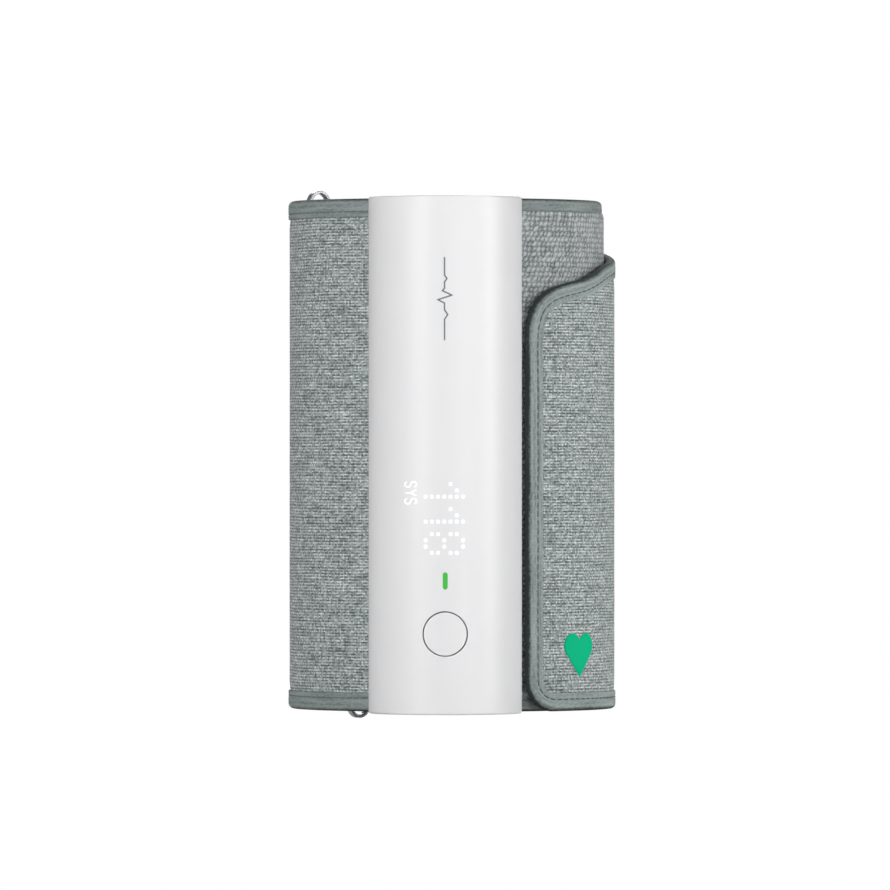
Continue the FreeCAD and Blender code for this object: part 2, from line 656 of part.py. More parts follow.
def main_board():
    """Main board with its chips, charging socket and pressure sensor."""
    front_y = MAIN_Y - MAIN_T
    board = box(-MAIN_X, MAIN_X, front_y, MAIN_Y, -71.5, 2)
    board = board.fuse(box(5, MAIN_X, front_y, MAIN_Y, 2, 16))
    save("main_board", board)
    chips = [box(-10, -2, MAIN_Y, MAIN_Y + 1.0, -34, -26),
             box(2, 11, MAIN_Y, MAIN_Y + 1.2, -36, -22),
             box(-4, 3, MAIN_Y, MAIN_Y + 0.8, -12, -6)]
    save("board_chips", Part.makeCompound(chips))
    socket = box(-3.9, 3.9, front_y - 2.9, front_y, -74.0, -68.6)
    socket = socket.cut(box(-3.4, 3.4, front_y - 2.4, front_y - 0.5, -75, -69.2))
    tongue = box(-2.6, 2.6, front_y - 1.7, front_y - 1.1, -73, -69.2)
    save("charging_socket", socket.fuse(tongue))
    sensor = box(SENSOR_X - 3, SENSOR_X + 3, front_y - 2.2, front_y, NIPPLE_Z - 3, NIPPLE_Z + 3)
    sensor = sensor.fuse(rod_y(BARB_R, front_y - 5.0, front_y - 2.2, SENSOR_X, NIPPLE_Z))
    save("pressure_sensor", sensor.cut(rod_y(0.6, front_y - 6.0, front_y - 1.0, SENSOR_X, NIPPLE_Z)))


def cup_places():
    """Axes of the pump's three diaphragms, as (x, y)."""
    turns = [math.radians(90 + 120 * k) for k in range(3)]
    return [(CUP_CIRCLE_R * math.cos(a), PUMP_Y + CUP_CIRCLE_R * math.sin(a)) for a in turns]


def pump():
    """Air pump: motor, turning crank, head with diaphragms and its foam sleeve."""
    low, high = MOTOR_Z
    motor = rod_z(MOTOR_R, low, high, 0, PUMP_Y)
    motor = motor.cut(rod_z(6.0, low + 1, high - 1, 0, PUMP_Y))
    save("pump_motor", motor.cut(rod_z(SHAFT_R + CLEAR, low - 4, low + 1, 0, PUMP_Y)))

    crank_low = low - 6
    rotor = rod_z(SHAFT_R, crank_low, low + 4, 0, PUMP_Y)
    rotor = rotor.fuse(rod_z(5.6, low + 4, high - 4, 0, PUMP_Y))
    save("pump_rotor", rotor.fuse(rod_z(4.0, crank_low, crank_low + 3, 1.5, PUMP_Y)))

    head = rod_z(HEAD_R, HEAD_LOW, low, 0, PUMP_Y)
    head = head.cut(rod_z(6.2, crank_low - 1.5, low + 1, 0, PUMP_Y))
    for x, y in cup_places():
        head = head.cut(rod_z(CUP_R + 0.1, HEAD_LOW + 3, HEAD_LOW + 11, x, y))
    head = head.fuse(rod_z(BARB_R, HEAD_LOW - 4.5, HEAD_LOW, 0, PUMP_Y))
    save("pump_head", head.cut(rod_z(BARB_BORE_R, HEAD_LOW - 5, HEAD_LOW + 1.5, 0, PUMP_Y)))

    cups = [rod_z(CUP_R, HEAD_LOW + 4, HEAD_LOW + 10, x, y) for x, y in cup_places()]
    save("pump_diaphragms", Part.makeCompound(cups))

    low, high = SLEEVE_Z
    sleeve = rod_z(SLEEVE_R, low, high, 0, PUMP_Y)
    save("pump_sleeve", sleeve.cut(rod_z(MOTOR_R, low - 1, high + 1, 0, PUMP_Y)))


def air_path():
    """Manifold, hoses, release valve and the nipple into the bladder."""
    y = AIR_Y
    block = box(-4, 4, y - 3.5, y + 3.5, 8, 15)
    block = block.fuse(rod_z(BARB_R, 15, 17.2, 0, PUMP_Y))
    block = block.fuse(rod_y(BARB_R, y + 3.5, -53.6, 0, NIPPLE_Z))
    for x0, x1 in ((-8, -4), (4, 7)):
        block = block.fuse(rod_x(BARB_R, x0, x1, y, NIPPLE_Z))
    block = block.cut(rod_z(BARB_BORE_R, NIPPLE_Z, 18, 0, PUMP_Y))
    block = block.cut(rod_y(BARB_BORE_R, PUMP_Y, -53, 0, NIPPLE_Z))
    save("air_manifold", block.cut(rod_x(BARB_BORE_R, -9, 8, y, NIPPLE_Z)))

    hose = rod_z(2.5, 15.3, 21.6, 0, PUMP_Y)
    save("pump_hose", hose.cut(rod_z(HOSE_IN_R, 15, 22, 0, PUMP_Y)))
    sensor_y = MAIN_Y - MAIN_T - 2.4
    save("sensor_hose", hose_bend(2.3, y, sensor_y).cut(hose_bend(HOSE_IN_R, y, sensor_y)))

    nipple = rod_y(NIPPLE_R, -56.9, -43.6, 0, NIPPLE_Z)
    nipple = nipple.fuse(rod_y(5.0, -43.88, -43.5, 0, NIPPLE_Z))
    save("air_nipple", nipple.cut(rod_y(HOSE_IN_R, -58, -43, 0, NIPPLE_Z)))

    valve = box(VALVE_X - 4.5, VALVE_X + 4.5, y - 5, y + 5, 3, 21.5)
    valve = valve.cut(rod_z(VALVE_R + CLEAR, 6.0, 20.6, VALVE_X, y))
    save("valve_body", valve.cut(rod_x(BARB_BORE_R, VALVE_X, VALVE_X + 12, y, NIPPLE_Z)))
    save("valve_plunger", rod_z(VALVE_R, 8.5, 18.0, VALVE_X, y))
    spring = coil_spring(SPRING_R, SPRING_WIRE_R, SPRING_TURNS, 2.0)
    spring.translate(Vector(VALVE_X, y, 18.3))
    save("valve_spring", spring)


def coil_spring(coil_r, wire_r, turns, height):
    """Coil spring about Z, built up from six-sided wire sections set round the helix."""
    per_turn = 16
    sections = []
    for i in range(turns * per_turn + 1):
        a = 2 * math.pi * i / per_turn
        z = height * i / (turns * per_turn)
        corners = []
        for side in range(6):
            b = math.radians(60 * side)
            r = coil_r + wire_r * math.cos(b)
            corners.append(Vector(r * math.cos(a), r * math.sin(a), z + wire_r * math.sin(b)))
        sections.append(Part.makePolygon(corners + corners[:1]))
    return Part.makeLoft(sections, True, True)


def hose_bend(r, y0, y1):
    """Round bar of the sensor hose's route: along X, round a bend, then along Y."""
    bend = 3.4
    short = bend * (1 - math.sqrt(0.5))
    start = Vector(4.3, y0, NIPPLE_Z)
    turn_in = Vector(SENSOR_X - bend, y0, NIPPLE_Z)
    turn_mid = Vector(SENSOR_X - short, y0 + short, NIPPLE_Z)
    turn_out = Vector(SENSOR_X, y0 + bend, NIPPLE_Z)
    route = Part.Wire([line(start, turn_in), Part.Arc(turn_in, turn_mid, turn_out).toShape(),
                       line(turn_out, Vector(SENSOR_X, y1, NIPPLE_Z))])
    section = Part.Wire(Part.makeCircle(r, start, X))
    return route.makePipeShell([section], True, True)


band_layers()
strap_ring()
strap_fold()
ring_tab()
strap()
shells()
end_caps()
display()
chassis()
main_board()
pump()
air_path()
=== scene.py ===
"""Looks of the upper-arm blood pressure cuff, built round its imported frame.

Lengths in the code are millimetres and are turned into metres as meshes are made.
Angles go round the arm's axis from the tube (-Y) towards +X. On the strap, s is the
length along it from angle 0 at radius 50, and n is the height over its inner face.
"""
import math
import random

import bpy
import numpy as np
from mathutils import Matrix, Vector
from mathutils.geometry import delaunay_2d_cdt

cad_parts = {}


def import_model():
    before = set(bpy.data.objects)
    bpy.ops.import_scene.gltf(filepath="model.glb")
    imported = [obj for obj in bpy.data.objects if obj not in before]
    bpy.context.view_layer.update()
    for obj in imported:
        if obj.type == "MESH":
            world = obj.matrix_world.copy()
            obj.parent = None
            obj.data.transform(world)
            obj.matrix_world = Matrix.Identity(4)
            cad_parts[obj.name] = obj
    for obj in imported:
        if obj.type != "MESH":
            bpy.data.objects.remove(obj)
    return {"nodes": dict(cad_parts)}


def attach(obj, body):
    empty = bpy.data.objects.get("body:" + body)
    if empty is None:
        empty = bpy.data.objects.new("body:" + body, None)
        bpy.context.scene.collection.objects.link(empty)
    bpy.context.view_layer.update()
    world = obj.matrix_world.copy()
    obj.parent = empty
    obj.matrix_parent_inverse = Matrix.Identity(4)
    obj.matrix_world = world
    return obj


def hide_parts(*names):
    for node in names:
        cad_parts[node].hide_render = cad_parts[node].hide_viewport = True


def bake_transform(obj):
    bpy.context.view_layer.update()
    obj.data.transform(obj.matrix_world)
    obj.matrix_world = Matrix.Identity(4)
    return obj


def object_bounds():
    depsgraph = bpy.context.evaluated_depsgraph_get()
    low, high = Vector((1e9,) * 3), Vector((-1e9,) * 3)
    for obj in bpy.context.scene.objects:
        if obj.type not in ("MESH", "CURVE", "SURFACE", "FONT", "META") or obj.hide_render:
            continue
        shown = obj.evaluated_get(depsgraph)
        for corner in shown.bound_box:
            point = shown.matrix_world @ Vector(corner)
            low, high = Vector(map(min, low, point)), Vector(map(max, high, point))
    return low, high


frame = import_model()
cad_low, cad_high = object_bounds()
random.seed(4)

MM = 0.001
UV_NAME = "weave"
UV_MM = 0.01             # UV units per millimetre of cloth

# Band
HALF = 75.0
BORE_R = 42.5
LINING_R = 43.2
FABRIC_R = 46.1
LOOP_R = 46.5
TAPE_W = 5.4
TAPE_T = 0.3
STITCH_IN = 3.9          # stitch line, from the band's edge
STITCH_PITCH, STITCH_LENGTH, THREAD_R = 2.6, 2.5, 0.17
LOOP_START, LOOP_END = 25.0, 170.0
PILE_R = 46.95           # top of the loops
PILE_TOP = HALF - 3.75   # the loops cover the tape's inner margin

# Strap
STRAP_R = 47.7
STRAP_T = 2.4
LINING_T = 0.6
CLOTH_LOW = LINING_T + 0.05
FACING_LAP = 1.3         # facing and lining lap this far over each other
RIM_IN = 0.8             # cloth's rim inside the fold of its tape
ARC_R = 50.0
STRAP_TAPE_W = 5.3
STRAP_STITCH_IN = 3.5
TIP_S = 24.96
CORNER_R = 9.5
LOW = -HALF
MARK_ANGLE, MARK_Z, MARK_W = 51.7, -58.4, 13.5
SEAM_ANGLE = 130.0                    # where the strap's two meshes meet
LEAN_START, RISE_START, RISE_END = 165.0, 190.0, 208.0

# Ring and tab
RING_ANGLE = 222.0
RING_TILT = math.radians(6.1)
RING_R = 47.75
RING_ARM = (8.4 - 0.95) / 2
TURN_IN = 1.6            # from a ring leg to the tab's turn round it
STRAP_TURN_IN = 1.9      # the same for the strap, whose tape is folded inwards
STRAP_OVER = 1.85        # from a ring leg to the strap's inner face over it
TAB_T = 1.0
TAB_HALF = HALF - 6.5
TAB_SEAT_R = FABRIC_R + TAPE_T + 0.05
TAB_SEWN, TAB_END = 8.0, 16.0         # degrees behind the band's start
TAB_SEAMS = (10.2, 14.2)
STRAP_END = 209.0
BAND_START = 229.5

# Tube
TUBE_R = 22.25
TUBE_Y = -57.75
PRINT_W, PRINT_T = 0.42, 0.03


# ---- Geometry helpers ----

def polar(r, angle, z):
    """Points at radius, angle in degrees and height; arrays broadcast."""
    a = np.radians(angle)
    r, a, z = np.broadcast_arrays(np.asarray(r, float), a, z)
    return np.stack([r * np.sin(a), -r * np.cos(a), z], axis=-1)


def screw(z):
    """Turn in degrees of the ring's neighbours at height z."""
    return np.degrees(z * math.tan(RING_TILT) / RING_R)


def ring_leg(side, z):
    """Radius and angle of a ring leg's centre line at height z."""
    along = side * RING_ARM / math.cos(RING_TILT) + z * math.tan(RING_TILT)
    return np.hypot(RING_R, along), RING_ANGLE + np.degrees(np.arctan2(along, RING_R))


def smooth(x, lo, hi):
    """Smoothstep of x from lo to hi."""
    t = np.clip((x - lo) / (hi - lo), 0, 1)
    return t * t * (3 - 2 * t)


def length_along(points):
    """Length of a line of points from its start to each of them."""
    return np.concatenate([[0], np.cumsum(np.linalg.norm(np.diff(points, axis=0), axis=1))])


def ripple(u, v, scale, seed):
    """Gentle random-looking waves, -1 to 1, over two coordinates in millimetres."""
    rng = np.random.default_rng(seed)
    total = np.zeros(np.broadcast(u, v).shape)
    for _ in range(7):
        ku, kv = rng.normal(0, 1 / scale, 2)
        total = total + np.sin(2 * math.pi * (ku * u + kv * v) + rng.uniform(0, 6.3))
    return total / 4


def add_object(name, data):
    """New object in the scene that holds the mesh, light or camera."""
    made = bpy.data.objects.new(name, data)
    bpy.context.collection.objects.link(made)
    return made


def make_piece(name, points, faces, material, uv, sharp):
    """Mesh object from points in millimetres; uv is per point, in millimetres."""
    mesh = bpy.data.meshes.new(name)
    mesh.from_pydata((np.asarray(points) * MM).tolist(), [], [list(map(int, f)) for f in faces])
    mesh.validate()
    layer = mesh.uv_layers.new(name=UV_NAME)
    index = np.zeros(len(mesh.loops), np.int32)
    mesh.loops.foreach_get("vertex_index", index)
    layer.data.foreach_set("uv", (np.asarray(uv)[index] * UV_MM).astype(np.float32).ravel())
    mesh.shade_smooth()
    mesh.set_sharp_from_angle(angle=math.radians(sharp))
    mesh.materials.append(material)
    return add_object(name, mesh)


def shell(name, outer, inner, uv, material, sharp=40.0):
    """Closed piece between two grids of points with the same rows and columns."""
    rows, columns = outer.shape[:2]
    size = rows * columns
    i, j = np.meshgrid(np.arange(rows - 1), np.arange(columns - 1), indexing="ij")
    a = (i * columns + j).ravel()
    quads = np.stack([a, a + columns, a + columns + 1, a + 1], axis=1)
    rim = [(i, 0) for i in range(rows)] + [(rows - 1, j) for j in range(1, columns)]
    rim += [(i, columns - 1) for i in range(rows - 2, -1, -1)]
    rim += [(0, j) for j in range(columns - 2, -1, -1)]
    loop = np.array([i * columns + j for i, j in rim])
    sides = np.stack([loop[1:], loop[:-1], loop[:-1] + size, loop[1:] + size], axis=1)
    faces = np.concatenate([quads, quads[:, ::-1] + size, sides])
    points = np.concatenate([outer.reshape(-1, 3), inner.reshape(-1, 3)])
    uv = np.concatenate([uv.reshape(-1, 2)] * 2)
    return make_piece(name, points, faces, material, uv, sharp)


def tube_faces(first, stations, count):
    """Faces of a closed tube whose rings of points are numbered on from the first."""
    faces = []
    for ring in range(first, first + (stations - 1) * count, count):
        for j in range(count):
            a, b = ring + j, ring + (j + 1) % count
            faces.append([a, b, b + count, a + count])
    last = first + (stations - 1) * count
    faces.append(list(range(first, first + count))[::-1])
    faces.append(list(range(last, last + count)))
    return faces


def sweep(name, rings, uv, material):
    """Closed piece from closed cross-sections, one per station, with flat ends."""
    faces = tube_faces(0, *rings.shape[:2])
    return make_piece(name, rings.reshape(-1, 3), faces, material, uv.reshape(-1, 2), 60.0)


def stitches(name, path, outward, material):
    """Row of short threads along a path of points, each one arched and tucked in."""
    along = length_along(path)
    points, faces, uv = [], [], []
    for start in np.arange(0.6, along[-1] - STITCH_LENGTH, STITCH_PITCH):
        t = np.linspace(start, start + STITCH_LENGTH * random.uniform(0.95, 1.02), 5)
        line = np.stack([np.interp(t, along, path[:, k]) for k in range(3)], axis=1)
        up = np.stack([np.interp(t, along, outward[:, k]) for k in range(3)], axis=1)
        up /= np.linalg.norm(up, axis=1)[:, None]
        side = np.cross(np.gradient(line, axis=0), up)
        side /= np.linalg.norm(side, axis=1)[:, None]
        lift = np.array([-0.20, 0.02, 0.07, 0.02, -0.20])
        girth = THREAD_R * np.array([0.55, 1.0, 1.0, 1.0, 0.55])
        faces += [face[::-1] for face in tube_faces(len(points), 5, 6)]
        for i in range(5):
            for corner in range(6):
                b = 2 * math.pi * corner / 6
                points.append(line[i] + up[i] * (lift[i] + girth[i] * math.sin(b))
                              + side[i] * girth[i] * math.cos(b))
                uv.append((t[i], girth[i] * b))
    return make_piece(name, np.array(points), faces, material, np.array(uv), 80.0)


def settle(piece, slot, body, *nodes):
    """Attach the piece to the body it rides on and hide the nodes it stands for; slot is not used.
    """
    if nodes:
        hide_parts(*nodes)
    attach(piece, body)


# ---- Materials ----

class Shader:
    """One node material; its methods add nodes and give back their output sockets."""

    def __init__(self, name, roughness=0.5, **settings):
        self.material = bpy.data.materials.new(name)
        self.material.use_nodes = True
        self.tree = self.material.node_tree
        self.out = self.tree.nodes["Principled BSDF"]
        self.out.inputs["Roughness"].default_value = roughness
        for key, value in settings.items():
            self.out.inputs[key.replace("_", " ")].default_value = value

    def node(self, kind, inputs, **properties):
        """New node with its inputs linked or set."""
        made = self.tree.nodes.new("ShaderNode" + kind)
        for key, value in properties.items():
            setattr(made, key, value)
        for key, value in inputs.items():
            if isinstance(value, bpy.types.NodeSocket):
                self.tree.links.new(value, made.inputs[key])
            else:
                made.inputs[key].default_value = value
        return made

    def math(self, operation, *values):
        """Result of one math node."""
        return self.node("Math", dict(enumerate(values)), operation=operation).outputs[0]

    def times(self, a, b):
        """Product of two values."""
        return self.math("MULTIPLY", a, b)

    def add(self, base, value, share=1.0):
        """The base plus a share of the value."""
        return self.math("MULTIPLY_ADD", value, share, base)

    def vary(self, base, value, share):
        """The base moved up or down by a value, 0 to 1, round its middle."""
        return self.add(base, self.math("SUBTRACT", value, 0.5), share)

    def spread(self, value, low, high, start=0.0, end=1.0):
        """The value's way from start to end, carried over to low and high."""
        return self.node("MapRange", {"Value": value, "From Min": start, "From Max": end,
                                      "To Min": low, "To Max": high}).outputs[0]

    def wave(self, value, pitch):
        """Smooth stripes, 0 to 1, with the pitch."""
        turned = self.times(value, 2 * math.pi / pitch)
        return self.add(0.5, self.math("COSINE", turned), 0.5)

    def number(self, value, pitch):
        """Whole number of the stripe that the value is in."""
        return self.math("ROUND", self.math("DIVIDE", value, pitch))

    def noise(self, vector, scale, detail=2.0):
        """Soft noise, 0 to 1."""
        return self.node("TexNoise", {"Vector": vector, "Scale": scale,
                                      "Detail": detail}).outputs["Fac"]

    def grain(self, u, v, along, across, seed=0.0, detail=2.0):
        """Noise over the cloth with a rate of its own along and across it."""
        return self.noise(self.vector(self.times(u, along), self.times(v, across), seed),
                          1.0, detail)

    def chance(self, x, y):
        """Random value, 0 to 1, of each pair of whole numbers."""
        made = self.node("TexWhiteNoise", {"Vector": self.vector(x, y)}, noise_dimensions="2D")
        return made.outputs["Value"]

    def vector(self, x, y, z=0.0):
        """The three values as one vector."""
        return self.node("CombineXYZ", {"X": x, "Y": y, "Z": z}).outputs[0]

    def cloth_axes(self):
        """Length along and across the cloth, in millimetres."""
        uv = self.node("UVMap", {}, uv_map=UV_NAME).outputs[0]
        parts = self.node("SeparateXYZ", {"Vector": uv})
        return [self.times(parts.outputs[k], 1 / UV_MM) for k in (0, 1)]

    def place(self):
        """Position in the piece, in millimetres."""
        made = self.node("TexCoord", {}).outputs["Object"]
        return self.node("VectorMath", {0: made, "Scale": 1 / MM}, operation="SCALE").outputs[0]

    def ramp(self, value, stops):
        """Colour of a value between stops of (position, colour)."""
        made = self.node("ValToRGB", {"Fac": value})
        elements = made.color_ramp.elements
        while len(elements) < len(stops):
            elements.new(0.5)
        for element, (position, colour) in zip(elements, stops):
            element.position = position
            element.color = (*colour, 1.0)
        return made.outputs[0]

    def use(self, key, value):
        """Link a value to the shader."""
        self.tree.links.new(value, self.out.inputs[key])

    def bump(self, height, depth_mm, strength=1.0):
        """Relief too fine for the mesh."""
        made = self.node("Bump", {"Height": height, "Distance": depth_mm * MM,
                                  "Strength": strength})
        self.use("Normal", made.outputs[0])


def linear(r, g, b, gain=1.0):
    """Scene colour of an 8-bit display colour."""
    out = []
    for c in (r, g, b):
        c = c / 255
        out.append(gain * (c / 12.92 if c <= 0.04045 else ((c + 0.055) / 1.055) ** 2.4))
    return tuple(out)


WEFT, WARP = 0.87, 0.62  # yarn pitches of the woven cloth
LOOP_ROW, LOOP_PITCH, LOOP_SLANT = 1.48, 1.62, -0.35


def melange_cloth(name, gain):
    """Irregular linen-like plain weave of grey melange yarn."""
    m = Shader(name, 0.85, Sheen_Weight=0.12, Sheen_Roughness=0.5)
    u, v = m.cloth_axes()
    v = m.add(v, m.grain(u, v, 0.05, 0.07), 0.6)
    v = m.add(v, m.grain(u, v, 0.6, 0.6, 7.0), 0.35)
    weft = m.wave(v, WEFT)
    warp = m.wave(u, WARP)
    tuft = m.chance(m.number(u, WARP), m.number(v, WEFT / 2))
    streak = m.grain(u, v, 0.08, 1.15)
    slub = m.grain(u, v, 1.6, 0.2, 4.0)
    patch = m.grain(u, v, 0.3, 0.4, 9.0)
    tone = m.add(m.add(-0.29, warp, 0.16), weft, 0.42)
    for part, share in ((tuft, 0.62), (streak, 0.75), (slub, 0.45), (patch, 0.2)):
        tone = m.vary(tone, part, share)
    tone = m.add(0.44, tone)
    m.use("Base Color", m.ramp(tone, [(0.0, linear(76, 84, 83, gain)),
                                      (0.45, linear(142, 150, 149, gain)),
                                      (0.78, linear(182, 188, 188, gain)),
                                      (1.0, linear(214, 219, 219, gain))]))
    height = m.add(m.times(weft, 0.75), warp, 0.25)
    m.bump(m.add(height, tuft, 0.25), 0.13, 0.8)
    return m.material


def loop_cloth():
    """Brushed loop knit: rows of short slanted loops under a soft nap."""
    m = Shader("loop_knit", 0.9, Sheen_Weight=0.35, Sheen_Roughness=0.4)
    u, v = m.cloth_axes()
    wander = m.grain(u, v, 0.45, 0.45)
    v = m.add(v, wander, 0.9)
    row = m.number(v, LOOP_ROW)
    ridge = m.wave(v, LOOP_ROW)
    within = m.add(v, row, -LOOP_ROW)
    slant = m.add(u, within, LOOP_SLANT)
    slant = m.add(slant, m.chance(row, 5.0), 0.7 * LOOP_PITCH)
    slant = m.add(slant, wander, 2.2)
    loop = m.wave(slant, LOOP_PITCH)
    fuzz = m.grain(u, v, 2.4, 2.2, 2.0)
    height = m.times(m.add(0.4, ridge, 0.6), m.add(0.3, loop, 0.7))
    tone = m.vary(m.add(0.11, height, 0.75), fuzz, 1.4)
    tone = m.add(m.add(-0.06, tone), m.chance(row, m.number(slant, LOOP_PITCH)), 0.36)
    m.use("Base Color", m.ramp(tone, [(0.08, linear(78, 86, 85)), (0.5, linear(142, 148, 148)),
                                      (1.0, linear(198, 203, 203))]))
    m.bump(m.add(height, fuzz, 0.5), 0.22, 0.9)
    return m.material


def tape_cloth(name, gain):
    """Fine ribbed edge tape, streaked along its length, with painted shade over its fold and inner
    face.
    """
    m = Shader(name, 0.8, Specular_IOR_Level=0.15, Sheen_Weight=0.04, Sheen_Roughness=0.5)
    u, v = m.cloth_axes()
    rib = m.wave(u, 0.42)
    grain = m.grain(u, v, 0.8, 1.6, detail=3.0)
    tone = m.vary(m.add(0.42, rib, 0.10), grain, 0.6)
    tone = m.vary(tone, m.grain(u, v, 0.07, 1.1, 3.0), 0.7)
    # Painted shade: the tone drops by 0.6 from 2.2 mm before the fold's middle onwards, over the
    # fold and the whole inner face; inner_edge gives 0.3 of it back from 3.0 to 4.5 mm past the
    # fold.
    fold = m.spread(v, 0.0, 0.6, -2.2, -0.9)
    inner_edge = m.spread(v, 0.0, 0.3, 3.0, 4.5)
    tone = m.add(inner_edge, m.math("SUBTRACT", tone, fold))
    m.use("Base Color", m.ramp(tone, [(0.0, linear(52, 58, 57, gain)),
                                      (0.3, linear(112, 121, 119, gain)),
                                      (0.5, linear(137, 147, 145, gain)),
                                      (1.0, linear(168, 177, 175, gain))]))
    m.bump(m.add(rib, grain, 0.6), 0.06, 0.6)
    return m.material


def lining_cloth():
    """Smooth, darker lining with a fine diagonal twill."""
    m = Shader("lining_twill", 0.7, Sheen_Weight=0.15, Sheen_Roughness=0.4)
    u, v = m.cloth_axes()
    twill = m.wave(m.add(u, v), 0.6)
    tone = m.vary(m.add(0.35, twill, 0.3), m.grain(u, v, 0.7, 0.7, detail=3.0), 0.9)
    m.use("Base Color", m.ramp(tone, [(0.0, linear(84, 91, 91)), (1.0, linear(128, 136, 136))]))
    m.bump(twill, 0.08, 0.7)
    return m.material


def hook_cloth():
    """Hook tape: a field of tiny stiff hooks."""
    m = Shader("hook_tape", 0.45)
    u, v = m.cloth_axes()
    hooks = m.times(m.wave(u, 1.1), m.wave(v, 0.9))
    tone = m.add(m.times(m.noise(m.vector(u, v), 1.6), 0.3), hooks, 0.7)
    m.use("Base Color", m.ramp(tone, [(0.1, linear(70, 76, 76)), (1.0, linear(160, 167, 166))]))
    m.bump(hooks, 0.4, 1.0)
    return m.material


def thread(name, colour, shade=0.7):
    """Twisted sewing thread, its colour dimmed to a shade between the twists."""
    m = Shader(name, 0.8, Specular_IOR_Level=0.15)
    u, v = m.cloth_axes()
    twist = m.wave(m.add(u, v, 0.8), 0.45)
    m.use("Base Color", m.ramp(twist, [(0.0, tuple(c * shade for c in colour)), (1.0, colour)]))
    m.bump(twist, 0.04, 0.6)
    return m.material


def moulded(name, colour, roughness, speck=0.04, depth=0.012, grain=3.0):
    """Moulded plastic or rubber with a fine eroded texture."""
    m = Shader(name, roughness)
    fine = m.noise(m.place(), grain, 3.0)
    tone = m.add(m.times(m.noise(m.place(), 0.08), 0.5), fine, 0.5)
    low = tuple(max(0.0, c * (1 - speck)) for c in colour)
    high = tuple(min(1.0, c * (1 + speck)) for c in colour)
    m.use("Base Color", m.ramp(tone, [(0.3, low), (0.7, high)]))
    m.use("Roughness", m.spread(fine, roughness - 0.04, roughness + 0.05))
    m.bump(fine, depth, 0.5)
    return m.material


def metal(name, colour, roughness, brushed=(0.4, 0.4, 9.0)):
    """Drawn or brushed metal with fine lines along one axis."""
    m = Shader(name, roughness, Metallic=0.85)
    scaled = m.node("VectorMath", {0: m.place(), 1: brushed}, operation="MULTIPLY").outputs[0]
    lines = m.noise(scaled, 1.0, 3.0)
    m.use("Base Color", m.ramp(lines, [(0.3, tuple(c * 0.85 for c in colour)), (0.7, colour)]))
    m.use("Roughness", m.spread(lines, roughness - 0.06, roughness + 0.08))
    m.bump(lines, 0.01, 0.4)
    return m.material


def glow(name, colour, strength, roughness=0.4):
    """Light-passing plastic, lit from inside."""
    m = Shader(name, roughness, Emission_Strength=strength)
    fine = m.noise(m.place(), 2.0)
    shade = m.ramp(fine, [(0.3, tuple(c * 0.96 for c in colour)), (0.7, colour)])
    m.use("Base Color", shade)
    m.use("Emission Color", shade)
    return m.material


# The strap's cloth and tape are the band's cloth and tape with higher gains, 1.19 against 1.07 and
# 1.33 against 1.01: painted light for the strap's brighter lighting.
MELANGE = melange_cloth("melange_weave", 1.07)
STRAP_MELANGE_PAINTED_LIGHT = melange_cloth("strap_weave_painted_light", 1.19)
LOOPS = loop_cloth()
TAPE = tape_cloth("edge_tape", 1.01)
STRAP_TAPE = tape_cloth("strap_edge_tape_painted_light", 1.33)
LINING = lining_cloth()
HOOKS = hook_cloth()
GREY_THREAD = thread("grey_thread", linear(118, 127, 125))
# The strap's thread is darker than the band's: thread colour with painted shade of the seam groove
# it lies in.
STRAP_THREAD_PAINTED_SHADE = thread("strap_thread_painted_shade", linear(100, 109, 107))
GREEN_THREAD = thread("green_thread", linear(0, 198, 142), 0.9)
WHITE = moulded("white_shell", (0.80, 0.80, 0.81), 0.40, 0.01, 0.004)
REAR = moulded("rear_plastic", (0.74, 0.74, 0.75), 0.42, 0.02, 0.01)
DARK = moulded("dark_plastic", (0.03, 0.032, 0.034), 0.5, 0.2)
PRINT = moulded("grey_print", linear(112, 114, 116), 0.5, 0.05)
BOARD = moulded("circuit_board", (0.02, 0.11, 0.055), 0.45, 0.3, 0.01, 1.2)
CHIP = moulded("chip_black", (0.015, 0.015, 0.017), 0.55, 0.2)
SILICONE = moulded("silicone", (0.62, 0.64, 0.66), 0.5, 0.05)
FOAM = moulded("foam", (0.05, 0.05, 0.055), 0.95, 0.5, 0.25, 1.4)
WRAP = moulded("cell_wrap", (0.03, 0.09, 0.22), 0.4, 0.1)
FILM = moulded("bladder_film", (0.36, 0.38, 0.40), 0.4, 0.06, 0.05, 0.5)
STEEL = metal("ring_steel", (0.62, 0.63, 0.64), 0.45)
SCREW = metal("screw_steel", (0.55, 0.56, 0.58), 0.32, (3.0, 3.0, 3.0))
DOTS = glow("display_light", (1.0, 1.0, 1.0), 0.12)
GREEN_LIGHT = glow("status_green", linear(66, 200, 66, 0.85), 0.12)
LED = glow("led_white", (0.9, 0.9, 0.82), 0.15)


# ---- Band ----

def band_angles(step=1.5):
    """Grid angles of the band at mid height, from the tab round the front to the strap."""
    count = round((360 + STRAP_END - BAND_START) / step)
    return np.linspace(BAND_START + 0.05, 360 + STRAP_END - 0.05, count + 1)


def band_rows(top):
    """Heights of the band's grid rows, closer together near its edges."""
    near = np.array([0, 0.5, 1.0, 1.8, 2.6, 3.6, 4.6, 5.3, 5.8, 6.4, 7.2, 8.2, 9.4])
    middle = np.linspace(-top + 10.8, top - 10.8, 88)
    return np.concatenate([-top + near, middle, (top - near)[::-1]])


